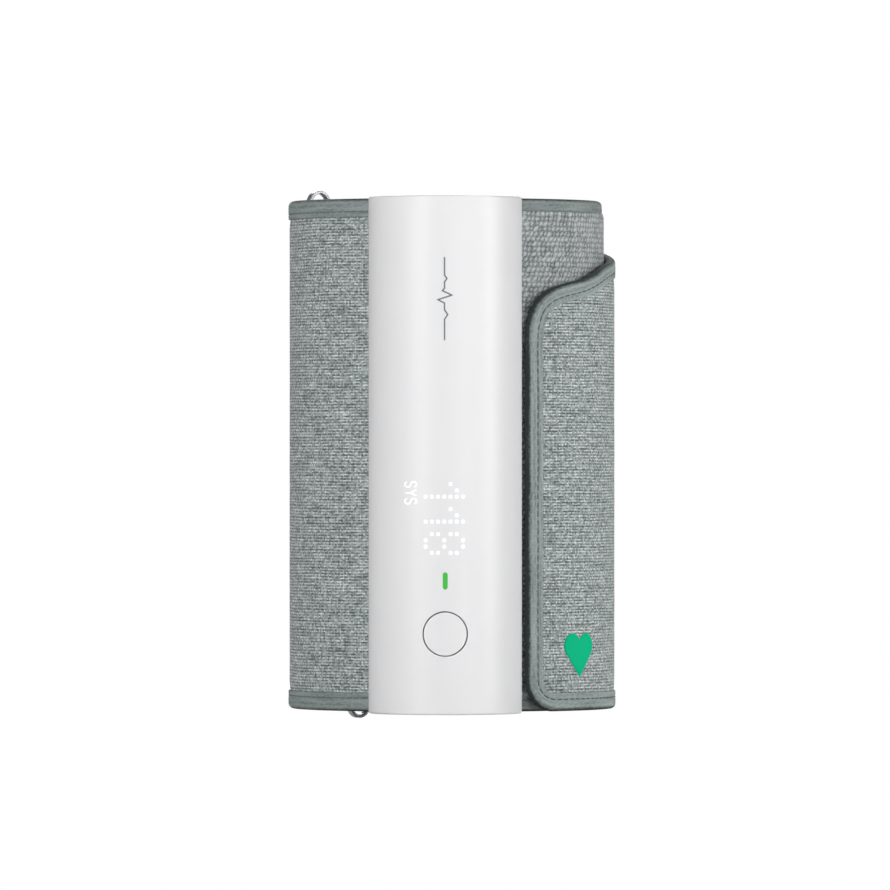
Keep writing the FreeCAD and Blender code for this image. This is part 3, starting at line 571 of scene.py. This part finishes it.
def band_cloth():
    """Padded woven cloth of the band."""
    rows = band_rows(HALF - TAPE_T)
    a, z = np.meshgrid(band_angles(), rows, indexing="ij")
    a = a + screw(z)
    edge = HALF - np.abs(z)
    r = FABRIC_R - 0.30 * (1 - smooth(edge, TAPE_W - 0.6, TAPE_W + 3.0))
    r = r - 0.5 * (1 - smooth(edge, 0.2, 1.8))
    arc = np.radians(a) * FABRIC_R
    calm = smooth(edge, 6, 16)
    r = r + calm * (0.035 * ripple(arc, z, 26.0, 3) - 0.03)
    inner = np.where(edge < 11.5, LINING_R + 0.05, 45.4)
    inner = np.where(edge < 1.2, LINING_R + 0.3, inner)
    uv = np.stack([arc, z], axis=-1)
    piece = shell("band_cloth", polar(r, a, z), polar(inner, a, z), uv, MELANGE)
    settle(piece, "melange_fabric", "cuff", "cuff_fabric")


def band_lining():
    """Lining stretched round the bore, slightly puckered."""
    rows = band_rows(HALF - TAPE_T)
    a, z = np.meshgrid(band_angles(), rows, indexing="ij")
    a = a + screw(z)
    arc = np.radians(a) * BORE_R
    edge = HALF - np.abs(z)
    pucker = 0.12 * (0.5 + 0.5 * ripple(arc, z * 0.35, 9.0, 5)) * smooth(edge, 6, 12)
    inner = BORE_R + 0.04 + np.clip(pucker, 0, 0.3) + 0.25 * (1 - smooth(edge, 5.2, 6.4))
    uv = np.stack([arc, z], axis=-1)
    piece = shell("band_lining", polar(LINING_R, a, z), polar(inner, a, z), uv, LINING)
    settle(piece, "lining_fabric", "cuff", "cuff_lining")


def tape_profile(half_gap, width, groove):
    """Closed outline of a folded tape as (distance in from the edge, side offset).

    The side offset runs from -half_gap to +half_gap between the tape's outer faces.
    """
    h = half_gap
    r = min(1.55, h - 0.05)
    outer = [(width, h - 0.16), (width - 0.12, h - 0.02), (width - 0.5, h + 0.0)]
    outer += [(groove + 0.5, h + 0.01), (groove + 0.22, h - 0.10), (groove, h - 0.24),
              (groove - 0.22, h - 0.10), (groove - 0.5, h + 0.02), (2.5, h + 0.04), (1.9, h + 0.0)]
    outer += [(r - r * math.sin(t), h - r + r * math.cos(t)) for t in np.linspace(0.12, 1.5708, 9)]
    around = outer + [(d, -side) for d, side in reversed(outer)]
    inside = [(width - 0.02, -h + 0.30), (1.6, -h + 0.32), (0.75, -h + 0.9), (0.34, -0.3),
              (0.34, 0.3), (0.75, h - 0.9), (1.6, h - 0.32), (width - 0.02, h - 0.30)]
    return np.array(around + inside)


def across_tape(profile):
    """Distance of each point of the outline along the tape, from the middle of its fold."""
    along = length_along(profile)
    fold = np.argmin(profile[:, 0] + 0.001 * np.abs(profile[:, 1]))
    return along - along[fold] - np.abs(profile[fold, 1])


def band_tape(sign, name, node):
    """Edge tape folded over one edge of the band, with its row of stitches."""
    middle = (BORE_R + FABRIC_R + TAPE_T) / 2
    profile = tape_profile((FABRIC_R + TAPE_T - BORE_R) / 2, TAPE_W, STITCH_IN)
    angles = band_angles(1.2)
    a = angles[:, None] + np.zeros(len(profile))
    z = sign * (HALF - profile[:, 0])[None, :] + np.zeros_like(a)
    a = a + screw(z)
    arc = np.radians(a) * FABRIC_R
    r = middle + profile[:, 1][None, :] + 0.025 * ripple(arc, z, 12.0, 8)
    uv = np.stack([arc, across_tape(profile)[None, :] + np.zeros_like(a)], axis=-1)
    rings = polar(r, a, z)
    if sign > 0:
        rings, uv = rings[:, ::-1], uv[:, ::-1]
    piece = sweep(name, rings, uv, TAPE)
    settle(piece, "edge_tape", "cuff", node)
    seam_z = sign * (HALF - STITCH_IN)
    turn = screw(seam_z)
    path = polar(FABRIC_R + TAPE_T - 0.16, angles + turn, seam_z)
    row = stitches(name + "_stitches", path, polar(1.0, angles + turn, 0.0), GREY_THREAD)
    settle(row, "edge_tape", "cuff")


def loop_patch():
    """Loop knit sewn over the right of the band."""
    near = np.array([0, 0.15, 0.4, 0.8, 1.3, 1.8, 2.1, 2.6, 3.4])
    rows = np.concatenate([-PILE_TOP + near, np.linspace(-PILE_TOP + 4.2, PILE_TOP - 4.2, 96),
                           (PILE_TOP - near)[::-1]])
    angles = np.linspace(LOOP_START, LOOP_END, 140)
    a, z = np.meshgrid(angles, rows, indexing="ij")
    arc = np.radians(a) * LOOP_R
    edge = np.minimum(PILE_TOP - np.abs(z), np.minimum(arc - arc.min(), arc.max() - arc))
    r = PILE_R - 0.32 * (1 - smooth(edge, -0.3, 1.3)) + 0.03 * ripple(arc, z, 5.0, 11)
    over_tape = smooth(np.abs(z), HALF - TAPE_W - 0.6, HALF - TAPE_W - 0.05)
    inner = FABRIC_R + 0.02 + (TAPE_T + 0.06) * over_tape
    uv = np.stack([arc, z], axis=-1)
    piece = shell("loop_cloth", polar(r, a, z), polar(inner, a, z), uv, LOOPS)
    settle(piece, "loop_knit", "cuff", "loop_patch")


band_cloth()
band_lining()
band_tape(1, "band_tape_top", "cuff_binding_top")
band_tape(-1, "band_tape_bottom", "cuff_binding_bottom")
loop_patch()


# ---- Strap ----

S_SEAM = ARC_R * math.radians(SEAM_ANGLE)
S_LEAN = ARC_R * math.radians(LEAN_START)
S_RISE = ARC_R * math.radians(RISE_START)
S_FLAT = ARC_R * math.radians(RISE_END)
S_FOLD = S_FLAT + 8.0
S_TURNED = S_FOLD + 9.0
S_END = S_TURNED + 6.8


def strap_point(s, z, n):
    """Where a point of the strap lies: along it, at a height, n over its inner face."""
    s, z, n = np.broadcast_arrays(np.asarray(s, float), np.asarray(z, float), np.asarray(n, float))
    leg_r, leg_angle = ring_leg(-1, z)
    over = leg_r + STRAP_OVER
    inner = (over - FABRIC_R) / 2
    middle = (over + FABRIC_R) / 2
    fold = leg_angle - np.degrees((inner - STRAP_TURN_IN) / middle)
    turn = screw(z)

    angle = np.degrees(np.minimum(s, S_FLAT) / ARC_R) + turn * smooth(s, S_LEAN, S_RISE)
    angle = angle + (fold - RISE_END - turn) * np.clip((s - S_FLAT) / (S_FOLD - S_FLAT), 0, 1)
    r = STRAP_R + n + (over - STRAP_R) * smooth(s, S_RISE, S_FLAT)
    flat = polar(r, angle, z)

    phase = math.pi * np.clip((s - S_FOLD) / (S_TURNED - S_FOLD), 0, 1)
    radial, onward = polar(1.0, fold, 0.0), polar(1.0, fold + 90.0, 0.0)
    reach = (inner + n)[..., None]
    curl = polar(middle, fold, z) + reach * (np.cos(phase)[..., None] * radial
                                             + np.sin(phase)[..., None] * onward)

    share = np.clip((s - S_TURNED) / (S_END - S_TURNED), 0, 1)
    under_angle = fold + (STRAP_END + 0.15 + turn - fold) * share
    under = polar(FABRIC_R - n, under_angle, z)
    s = s[..., None]
    return np.where(s <= S_FOLD, flat, np.where(s <= S_TURNED, curl, under))


def spline(points, step):
    """Points evenly spaced along a smooth curve through the given ones."""
    p = np.array(points, float)
    p = np.concatenate([2 * p[:1] - p[1:2], p, 2 * p[-1:] - p[-2:-1]])
    dense = []
    for i in range(1, len(p) - 2):
        for t in np.linspace(0, 1, 24, endpoint=False):
            a, b, c, d = p[i - 1], p[i], p[i + 1], p[i + 2]
            dense.append(0.5 * (2 * b + (c - a) * t + (2 * a - 5 * b + 4 * c - d) * t ** 2
                                + (3 * b - a - 3 * c + d) * t ** 3))
    dense.append(p[-2])
    dense = np.array(dense)
    along = length_along(dense)
    even = np.linspace(0, along[-1], max(2, round(along[-1] / step) + 1))
    return np.stack([np.interp(even, along, dense[:, k]) for k in (0, 1)], axis=1)


TOP_CURVE = [(TIP_S, 34.5), (25.35, 38.0), (26.5, 41.9), (28.5, 44.9), (31.5, 47.35), (35.6, 49.2),
             (40.8, 50.35), (47.2, 51.5), (54.3, 53.4), (61.3, 55.5), (72.0, 57.2), (96.0, 60.3)]


def strap_outline():
    """Edge of the strap from the seam along the bottom, round the end and back."""
    bottom = [(S_SEAM, LOW), (80.0, LOW), (55.0, LOW), (TIP_S + CORNER_R + 4, LOW)]
    centre_s, centre_z = TIP_S + CORNER_R, LOW + CORNER_R
    corner = [(centre_s - CORNER_R * math.sin(t), centre_z - CORNER_R * math.cos(t))
              for t in np.linspace(0, math.pi / 2, 9)]
    end = [(TIP_S, LOW + CORNER_R + 5), (TIP_S, -30.0), (TIP_S, 0.0), (TIP_S, 25.0)]
    top = TOP_CURVE + [(S_SEAM, upper_edge(S_SEAM))]
    return spline(bottom + corner + end + top, 1.0)


def upper_edge(s):
    """Height of the strap's upper edge behind the right side."""
    return np.interp(s, [96.0, 185.0], [60.3, HALF - 0.2]) + 0.2 * smooth(s, 170.0, 185.0)


def cloth_top(s, z, edge):
    """Height of the padded face over the inner face; edge is the distance in from the edge."""
    crown = 0.16 * (1 - smooth(edge, 5.6, 9.5)) + 0.12 * (1 - smooth(edge, 2.0, 5.0))
    top = STRAP_T - crown - 0.45 * (1 - smooth(edge, 0.7, 2.2))
    return top + 0.03 * smooth(edge, 8, 16) * ripple(s, z, 24.0, 21)


def lining_low(edge):
    """Height of the lining's lower face, which draws in under the tape."""
    return 0.25 * (1 - smooth(edge, 1.0, 2.4))


def blend_mid(piece):
    """Bake the piece's transform; it is not bent over the peel line between the band and the
    strap's middle.
    """
    bend_over(piece)


def blend_tip(piece):
    """Bake the piece's transform; it is not bent over the peel line between the strap's middle and
    its end.
    """
    bend_over(piece)


def bend_over(piece):
    """Bake the piece's transform into its mesh; it is not bent."""
    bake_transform(piece)


def edge_distance(points, line):
    """Distance of each point from a polyline."""
    best = np.full(len(points), 1e9)
    for a, b in zip(line[:-1], line[1:]):
        d = b - a
        t = np.clip(((points - a) @ d) / (d @ d), 0, 1)
        best = np.minimum(best, np.linalg.norm(points - (a + t[:, None] * d), axis=1))
    return best


def inward(line):
    """Unit directions into the cloth along the outline, which runs clockwise."""
    d = np.gradient(line, axis=0)
    d /= np.linalg.norm(d, axis=1)[:, None]
    return np.stack([d[:, 1], -d[:, 0]], axis=1)


def strap_tip_sheet():
    """Triangles of the strap's end between its edges and the seam, as (s, z)."""
    line = strap_outline()
    rim = line + RIM_IN * inward(line)
    rim[0] = (S_SEAM, LOW + RIM_IN)
    rim[-1] = (S_SEAM, line[-1, 1] - RIM_IN)
    joint = [(S_SEAM, z) for z in np.linspace(rim[-1, 1], rim[0, 1], 70)[1:-1]]
    border = np.concatenate([rim, joint])
    s_grid = np.arange(TIP_S + 1.9, S_SEAM - 0.7, 1.35)
    z_grid = np.arange(LOW + 1.9, 62.0, 1.75)
    s, z = np.meshgrid(s_grid, z_grid, indexing="ij")
    inside = np.stack([s.ravel(), z.ravel()], axis=1)
    closed = np.concatenate([border, border[:1]])
    inside = inside[edge_distance(inside, closed) > 0.75]
    count = len(border)
    edges = [(i, (i + 1) % count) for i in range(count)]
    all_points = np.concatenate([border, inside])
    points, _, faces, _, _, _ = delaunay_2d_cdt([Vector(p) for p in all_points], edges,
                                                [list(range(count))], 1, 1e-4)
    return np.array([tuple(p) for p in points]), faces, count


TIP_POINTS, TIP_FACES, TIP_RIM = strap_tip_sheet()
TIP_EDGE = edge_distance(TIP_POINTS, strap_outline())


def tip_layer(name, low, high, material):
    """Closed layer of the strap's end between two heights over the inner face."""
    s, z = TIP_POINTS[:, 0], TIP_POINTS[:, 1]
    count = len(TIP_POINTS)
    points = np.concatenate([strap_point(s, z, high), strap_point(s, z, low)])
    a, b, c = (TIP_POINTS[list(k)] for k in zip(*[f[:3] for f in TIP_FACES]))
    flip = ((b - a)[:, 0] * (c - a)[:, 1] - (b - a)[:, 1] * (c - a)[:, 0]).mean() < 0
    top = [f[::-1] if flip else f for f in TIP_FACES]
    faces = [list(f) for f in top] + [[v + count for v in reversed(f)] for f in top]
    for i in range(TIP_RIM):
        j = (i + 1) % TIP_RIM
        faces.append([i, j, j + count, i + count])
    uv = np.concatenate([TIP_POINTS] * 2)
    return make_piece(name, points, faces, material, uv, 50.0)


def root_grid():
    """Stations and heights of the strap from the seam to its end under the ring."""
    s = np.concatenate([np.arange(S_SEAM, S_FOLD - 0.8, 1.3), np.linspace(S_FOLD, S_TURNED, 20),
                        np.linspace(S_TURNED + 0.9, S_END, 7)])
    near = np.array([0, 0.4, 0.9, 1.6, 2.5, 3.6, 4.8, 5.6, 6.3, 7.2, 8.4])
    share = np.linspace(0, 1, 76)[1:-1]
    rows = []
    for top in upper_edge(s):
        low, high = LOW + RIM_IN, top - RIM_IN
        middle = (low + 9.6) + share * (high - low - 19.2)
        rows.append(np.concatenate([low + near, middle, (high - near)[::-1]]))
    z = np.array(rows)
    s = s[:, None] + np.zeros_like(z)
    edge = np.minimum(z - LOW, upper_edge(s) - z)
    return s, z, edge


def root_layer(name, low, high, material, s, z):
    """Closed layer of the strap behind the seam between two heights over its inner face."""
    outer = strap_point(s, z, high)
    inner = strap_point(s, z, low)
    uv = np.stack([s, z], axis=-1)
    return shell(name, outer, inner, uv, material, 50.0)


def strap_cloths():
    """Padded cloth and lining of the strap, each in two meshes that meet at the seam."""
    s, z, edge = root_grid()
    piece = root_layer("strap_cloth_root", CLOTH_LOW, cloth_top(s, z, edge), STRAP_MELANGE_PAINTED_LIGHT, s, z)
    blend_mid(piece)
    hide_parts("strap_fold", "flap_base_fabric", "flap_mid_fabric")

    low = lining_low(edge)
    keep = s[:, 0] >= S_RISE - FACING_LAP
    piece = root_layer("strap_facing", low[keep], LINING_T, STRAP_MELANGE_PAINTED_LIGHT, s[keep], z[keep])
    settle(piece, "melange_fabric", "cuff")
    np.ptp(s[keep]) * MM
    keep = s[:, 0] <= S_RISE + FACING_LAP
    piece = root_layer("strap_lining_root", low[keep], LINING_T, LINING, s[keep], z[keep])
    blend_mid(piece)
    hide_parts("flap_base_lining", "flap_mid_lining")
    np.ptp(s[keep]) * MM

    top = cloth_top(TIP_POINTS[:, 0], TIP_POINTS[:, 1], TIP_EDGE)
    piece = tip_layer("strap_cloth_end", CLOTH_LOW, top, STRAP_MELANGE_PAINTED_LIGHT)
    blend_tip(piece)
    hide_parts("flap_tip_fabric", "flap_mid_fabric")
    piece = tip_layer("strap_lining_end", lining_low(TIP_EDGE), LINING_T, LINING)
    blend_tip(piece)
    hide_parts("flap_tip_lining", "flap_mid_lining")


def strap_tape(name, line):
    """Folded edge tape along a line of the strap's edge, and its stitches."""
    profile = tape_profile(STRAP_T / 2 + TAPE_T, STRAP_TAPE_W, STRAP_STITCH_IN)
    into = inward(line)
    d, side = profile[:, 0], profile[:, 1]
    s = line[:, 0][:, None] + into[:, 0][:, None] * d[None, :]
    z = line[:, 1][:, None] + into[:, 1][:, None] * d[None, :]
    n = STRAP_T / 2 + side[None, :] + np.zeros_like(s)
    along = length_along(line)
    around = across_tape(profile)
    n = n + 0.02 * ripple(along[:, None], d[None, :], 10.0, 13)
    uv = np.stack([along[:, None] + np.zeros_like(s), around[None, :] + np.zeros_like(s)], axis=-1)
    rings = strap_point(s, z, n)[:, ::-1]
    piece = sweep(name, rings, uv[:, ::-1], STRAP_TAPE)

    seam = line + STRAP_STITCH_IN * into
    path = strap_point(seam[:, 0], seam[:, 1], STRAP_T + TAPE_T - 0.18)
    under = strap_point(seam[:, 0], seam[:, 1], STRAP_T)
    row = stitches(name + "_stitches", path, path - under, STRAP_THREAD_PAINTED_SHADE)
    return piece, row


def strap_tapes():
    """Edge tape round the strap's end and along both its edges behind the seam."""
    for made in strap_tape("strap_tape_end", strap_outline()):
        blend_tip(made)
        if made.name == "strap_tape_end":
            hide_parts("flap_tip_binding", "flap_mid_binding")
    s = np.concatenate([np.arange(S_SEAM, S_FOLD, 1.0), np.arange(S_FOLD, S_TURNED, 0.5),
                        np.linspace(S_TURNED, S_END, 8)])
    upper = np.stack([s, upper_edge(s)], axis=1)
    lower = np.stack([s[::-1], np.full(len(s), LOW)], axis=1)
    for name, line in (("strap_tape_upper", upper), ("strap_tape_lower", lower)):
        for made in strap_tape(name, line):
            blend_mid(made)
            if made.name == name:
                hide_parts("flap_base_binding", "flap_mid_binding")


def hook_patch():
    """Hook tape under the strap's end."""
    angles = np.linspace(40.2, 81.8, 60)
    rows = np.linspace(-63.8, 37.8, 110)
    a, z = np.meshgrid(angles, rows, indexing="ij")
    arc = np.radians(a) * STRAP_R
    bumps = 0.5 + 0.5 * np.sin(arc * 2.1) * np.sin(z * 1.7)
    r = PILE_R + 0.1 + 0.12 * bumps
    uv = np.stack([arc, z], axis=-1)
    piece = shell("hook_cloth", polar(STRAP_R - 0.02, a, z), polar(r, a, z), uv, HOOKS)
    settle(piece, "hook_tape", "flap_tip", "hook_patch")


def heart_spans(t):
    """Spans of x that the heart covers at height t, -0.5 at its point and 0.45 at its top."""
    lobe_x, lobe_t, lobe_r = 0.235, 0.185, 0.265
    side_top, side_slope = 0.013, 0.851
    if t < side_top:
        half = side_slope * (t + 0.5)
        return [(-half, half)]
    reach = math.sqrt(max(lobe_r ** 2 - (t - lobe_t) ** 2, 0.0))
    if t > lobe_t and reach < lobe_x:
        return [(-lobe_x - reach, -lobe_x + reach), (lobe_x - reach, lobe_x + reach)]
    return [(-lobe_x - reach, lobe_x + reach)]


def sewn_mark():
    """Heart worked in satin stitch: close rows of raised green thread."""
    points, faces, uv = [], [], []
    pitch = 0.30
    for row in range(int(0.95 * MARK_W / pitch) + 1):
        t = -0.5 + row * pitch / MARK_W
        for x0, x1 in heart_spans(t):
            x0, x1 = x0 * MARK_W, x1 * MARK_W
            if x1 - x0 < 0.5:
                continue
            stations = np.linspace(x0, x1, max(4, int((x1 - x0) / 0.6)))
            faces += tube_faces(len(points), len(stations), 6)
            for x in stations:
                edge = min(x - x0, x1 - x)
                lift = 0.05 + 0.17 * min(1.0, edge / 0.5)
                angle = MARK_ANGLE + math.degrees(x / ARC_R)
                for corner in range(6):
                    b = 2 * math.pi * corner / 6
                    r = STRAP_R + STRAP_T - 0.03 + lift + 0.10 * math.sin(b)
                    z = MARK_Z + t * MARK_W + 0.19 * math.cos(b) + 0.03 * math.sin(x * 3 + row)
                    points.append(polar(r, angle, z))
                    uv.append((x, b * 0.15))
    piece = make_piece("sewn_mark", np.array(points), faces, GREEN_THREAD, np.array(uv), 80.0)
    settle(piece, "mark_thread", "flap_tip", "flap_mark")


strap_cloths()
strap_tapes()
hook_patch()
sewn_mark()


# ---- Tab ----

def tab_stations(z):
    """Stations along the tab at the heights z, each as (inner face, outer face, step).

    It runs from its sewn end up over the ring's second leg, round it and back under.
    """
    leg_r, fold = ring_leg(1, z)
    start = BAND_START + screw(z)
    end, sewn, lift, under = start + TAB_END, start + TAB_SEWN, start - 0.1, start - 0.15
    over_in, over_out = leg_r + TURN_IN, leg_r + TURN_IN + TAB_T
    seat_out = TAB_SEAT_R + TAB_T
    for t in np.linspace(0, 1, 10):
        angle = end + (sewn - end) * t
        puff = 0.12 * math.sin(math.pi * min(1.0, t * 1.6)) if t > 0 else -0.3
        yield polar(TAB_SEAT_R, angle, z), polar(seat_out - 0.12 + puff, angle, z), 0.7
    for t in np.linspace(0, 1, 12)[1:]:
        angle = sewn + (lift - sewn) * t
        rise = smooth(t, 0, 1)
        yield (polar(TAB_SEAT_R + (over_in - TAB_SEAT_R) * rise, angle, z),
               polar(seat_out + (over_out - seat_out) * rise, angle, z), 0.6)
    for t in np.linspace(0, 1, 8)[1:]:
        angle = lift + (fold - lift) * t
        yield polar(over_in, angle, z), polar(over_out, angle, z), 0.45
    radial, back = polar(1.0, fold, 0.0), polar(1.0, fold - 90.0, 0.0)
    middle = polar(leg_r, fold, z)
    for t in np.linspace(0, 1, 14)[1:]:
        out = math.cos(math.pi * t) * radial + math.sin(math.pi * t) * back
        yield middle + TURN_IN * out, middle + (TURN_IN + TAB_T) * out, 0.5
    for t in np.linspace(0, 1, 7)[1:]:
        angle = fold + (under - fold) * t
        yield polar(leg_r - TURN_IN, angle, z), polar(leg_r - TURN_IN - TAB_T, angle, z), 0.5


def tab():
    """Webbing tab folded round the ring's second leg and sewn onto the band."""
    rows = np.linspace(-TAB_HALF, TAB_HALF, 80)
    inner, outer, steps = (np.array(part) for part in zip(*tab_stations(rows)))
    direction = outer - inner
    direction /= np.linalg.norm(direction, axis=-1)[..., None]
    ridge = 0.05 * np.sin(rows * 2 * math.pi / 2.2)
    outer = outer + direction * ridge[None, :, None]
    uv = np.stack(np.meshgrid(np.cumsum(steps), rows - HALF, indexing="ij"), axis=-1)
    piece = shell("ring_tab_webbing", outer[:, ::-1], inner[:, ::-1], uv[:, ::-1], TAPE, 50.0)
    settle(piece, "edge_tape", "cuff", "ring_tab")
    z = np.linspace(2 - TAB_HALF, TAB_HALF - 2, 60)
    for index, behind in enumerate(TAB_SEAMS):
        angle = BAND_START + behind + screw(z)
        row = stitches("ring_tab_stitches_%d" % (index + 1),
                       polar(TAB_SEAT_R + TAB_T - 0.02, angle, z), polar(1.0, angle, 0.0),
                       GREY_THREAD)
        settle(row, "edge_tape", "cuff")


tab()


# ---- Tube ----

def on_tube(x, z, lift):
    """Point on the tube's front face."""
    r = TUBE_R + lift
    x = np.asarray(x, float)
    return np.stack([x * r / TUBE_R, TUBE_Y - np.sqrt(r * r - (x * r / TUBE_R) ** 2),
                     np.asarray(z, float) + 0 * x], axis=-1)


def ribbon(points, width):
    """Corners along both sides of a bent line of (x, z) points, with mitred bends."""
    p = np.array(points, float)
    d = np.diff(p, axis=0)
    d /= np.linalg.norm(d, axis=1)[:, None]
    first = np.concatenate([d[:1], d])
    second = np.concatenate([d, d[-1:]])
    normal = np.stack([-(first + second)[:, 1], (first + second)[:, 0]], axis=1)
    normal /= np.linalg.norm(normal, axis=1)[:, None]
    own = np.stack([-first[:, 1], first[:, 0]], axis=1)
    reach = width / 2 / np.maximum((normal * own).sum(axis=1), 0.45)
    return p + normal * reach[:, None], p - normal * reach[:, None]


def fine_line(points, step=0.5):
    """The same bent line with points added along its runs."""
    out = [points[0]]
    for a, b in zip(points[:-1], points[1:]):
        count = max(1, round(math.dist(a, b) / step))
        out += [(a[0] + (b[0] - a[0]) * i / count, a[1] + (b[1] - a[1]) * i / count)
                for i in range(1, count + 1)]
    return out


def print_on_tube(name, lines, material, slot):
    """Flat printed lines on the tube's front."""
    points, faces, uv = [], [], []
    for line in lines:
        left, right = ribbon(fine_line(line), PRINT_W)
        faces += tube_faces(len(points), len(left), 4)
        for a, b in zip(left, right):
            for (x, z), lift in ((a, PRINT_T), (b, PRINT_T), (b, -0.02), (a, -0.02)):
                points.append(on_tube(x, z, lift))
                uv.append((x, z))
    piece = make_piece(name, np.array(points), faces, material, np.array(uv), 40.0)
    settle(piece, slot, "cuff")


def pulse_line():
    """Plain pulse trace down the tube, in grey print."""
    trace = [(0, 0), (0, 5.2), (0.7, 6.2), (0, 7.2), (0, 9.0), (-0.6, 9.7), (2.1, 11.0),
             (-1.9, 12.3), (0, 13.3), (0, 15.2), (0.9, 16.6), (0, 18.0), (0, 24.0)]
    line = [(-0.2 + x, 57.1 - along) for x, along in trace]
    print_on_tube("pulse_print", [line], PRINT, "dark_plastic")


def unit_label():
    """Three letters beside the reading, turned with it: S, Y, S."""
    s_shape = [(0.95, 0.82), (0.72, 1.0), (0.28, 1.0), (0.05, 0.82), (0.08, 0.62), (0.35, 0.52),
               (0.65, 0.47), (0.92, 0.36), (0.95, 0.18), (0.72, 0.0), (0.28, 0.0), (0.05, 0.18)]
    y_shape = [[(0.0, 1.0), (0.5, 0.48), (1.0, 1.0)], [(0.5, 0.48), (0.5, 0.0)]]
    letters = [[s_shape], y_shape, [s_shape]]
    lines = []
    for number, strokes in enumerate(letters):
        for stroke in strokes:
            lines.append([(-11.6 + 3.3 * up, -7.6 - 2.42 * number - 1.75 * across)
                          for across, up in stroke])
    print_on_tube("reading_label", lines, DOTS, "display_light")


pulse_line()
unit_label()


# ---- CAD nodes that stay in view ----

NODE_LOOKS = {
    WHITE: ("front_shell", "power_button"),
    REAR: ("rear_shell", "end_cap_top", "end_cap_bottom"),
    DARK: ("switch_plunger", "tact_switch", "light_guide", "chassis", "pump_head",
           "air_manifold", "anchor_plate"),
    SCREW: ("case_screws", "board_screws", "charging_socket", "pump_motor", "pump_rotor",
            "valve_body", "valve_plunger", "valve_spring"),
    BOARD: ("display_board", "main_board"),
    CHIP: ("board_chips", "pressure_sensor"),
    SILICONE: ("pump_diaphragms", "pump_hose", "sensor_hose", "air_nipple"),
    LED: ("display_leds",), DOTS: ("display_lenses",), GREEN_LIGHT: ("status_light",),
    WRAP: ("battery_cell",), FOAM: ("pump_sleeve",), FILM: ("air_bladder",),
    STEEL: ("strap_ring",),
}


def dress_nodes():
    """Give every kept node its material."""
    for look, names in NODE_LOOKS.items():
        for node in (frame["nodes"][name] for name in names):
            if not node.material_slots:
                node.data.materials.append(look)
            for slot in node.material_slots:
                slot.link = "OBJECT"
                slot.material = look


dress_nodes()


# ---- Stage, light and camera ----

def stage_material():
    """Pale floor that shows as plain white."""
    m = Shader("stage_floor", 0.9)
    grain = m.noise(m.place(), 0.02)
    m.use("Base Color", m.ramp(grain, [(0.3, (0.80, 0.80, 0.80)), (0.7, (0.84, 0.84, 0.84))]))
    tree = m.tree
    seen = m.node("LightPath", {}).outputs["Is Camera Ray"]
    white = m.node("Emission", {"Color": (1, 1, 1, 1), "Strength": 1.0}).outputs[0]
    mixed = m.node("MixShader", {0: seen, 1: m.out.outputs[0], 2: white}).outputs[0]
    tree.links.new(mixed, tree.nodes["Material Output"].inputs["Surface"])
    return m.material


def stage():
    """Floor just under the part."""
    mesh = bpy.data.meshes.new("stage_floor")
    z = cad_low.z - 0.0004
    size = 1.6
    mesh.from_pydata([(-size, -size, z), (size, -size, z), (size, size, z), (-size, size, z)], [],
                     [(0, 1, 2, 3)])
    mesh.materials.append(stage_material())
    add_object("stage_floor", mesh)


def world():
    """Plain white behind the part that gives it hardly any light."""
    made = bpy.data.worlds.new("studio")
    bpy.context.scene.world = made
    made.use_nodes = True
    tree = made.node_tree
    back = tree.nodes["Background"]
    back.inputs["Color"].default_value = (1, 1, 1, 1)
    back.inputs["Strength"].default_value = 0.015
    seen = tree.nodes.new("ShaderNodeLightPath")
    white = tree.nodes.new("ShaderNodeBackground")
    white.inputs["Color"].default_value = (1, 1, 1, 1)
    mixed = tree.nodes.new("ShaderNodeMixShader")
    tree.links.new(seen.outputs["Is Camera Ray"], mixed.inputs[0])
    tree.links.new(back.outputs[0], mixed.inputs[1])
    tree.links.new(white.outputs[0], mixed.inputs[2])
    tree.links.new(mixed.outputs[0], tree.nodes["World Output"].inputs["Surface"])


# Name, azimuth and elevation in degrees (0 is in front, 90 to the right), distance,
# width and height in metres, and power in watts.
LAMPS = [
    ("lamp_left", -62, 3, 1.4, 0.60, 1.1, 0.7),
    ("lamp_left_mid", -36, 12, 1.8, 0.75, 0.9, 18.2),
    ("lamp_right_mid", 32, 12, 1.8, 0.6, 0.9, 5.0),
    ("lamp_right_side", 70, 3, 1.3, 0.36, 1.1, 12.6),
    ("lamp_high", 0, 62, 1.8, 0.8, 0.8, 3.5),
    ("lamp_back", 180, 35, 1.8, 1.0, 0.8, 22.0),
]


def lights():
    """The studio's soft lamps, all turned towards the part."""
    for name, azimuth, elevation, distance, width, height, power in LAMPS:
        a, e = math.radians(azimuth), math.radians(elevation)
        place = distance * Vector((math.sin(a) * math.cos(e), -math.cos(a) * math.cos(e),
                                   math.sin(e)))
        data = bpy.data.lights.new(name, "AREA")
        data.shape = "RECTANGLE"
        data.size, data.size_y = width, height
        data.energy = power
        lamp = add_object(name, data)
        lamp.location = place
        lamp.rotation_euler = (-place).to_track_quat("-Z", "Y").to_euler()


def camera():
    """Straight front view through a long lens."""
    data = bpy.data.cameras.new("camera")
    data.sensor_width = 36.0
    data.lens = 409.7
    data.clip_start, data.clip_end = 0.1, 20.0
    made = add_object("camera", data)
    made.location = (-0.00006, -3.0, 0.0029)
    made.rotation_euler = (math.pi / 2, 0.0, 0.0)
    bpy.context.scene.camera = made


stage()
world()
lights()
camera()
bpy.context.scene.view_settings.view_transform = "Standard"
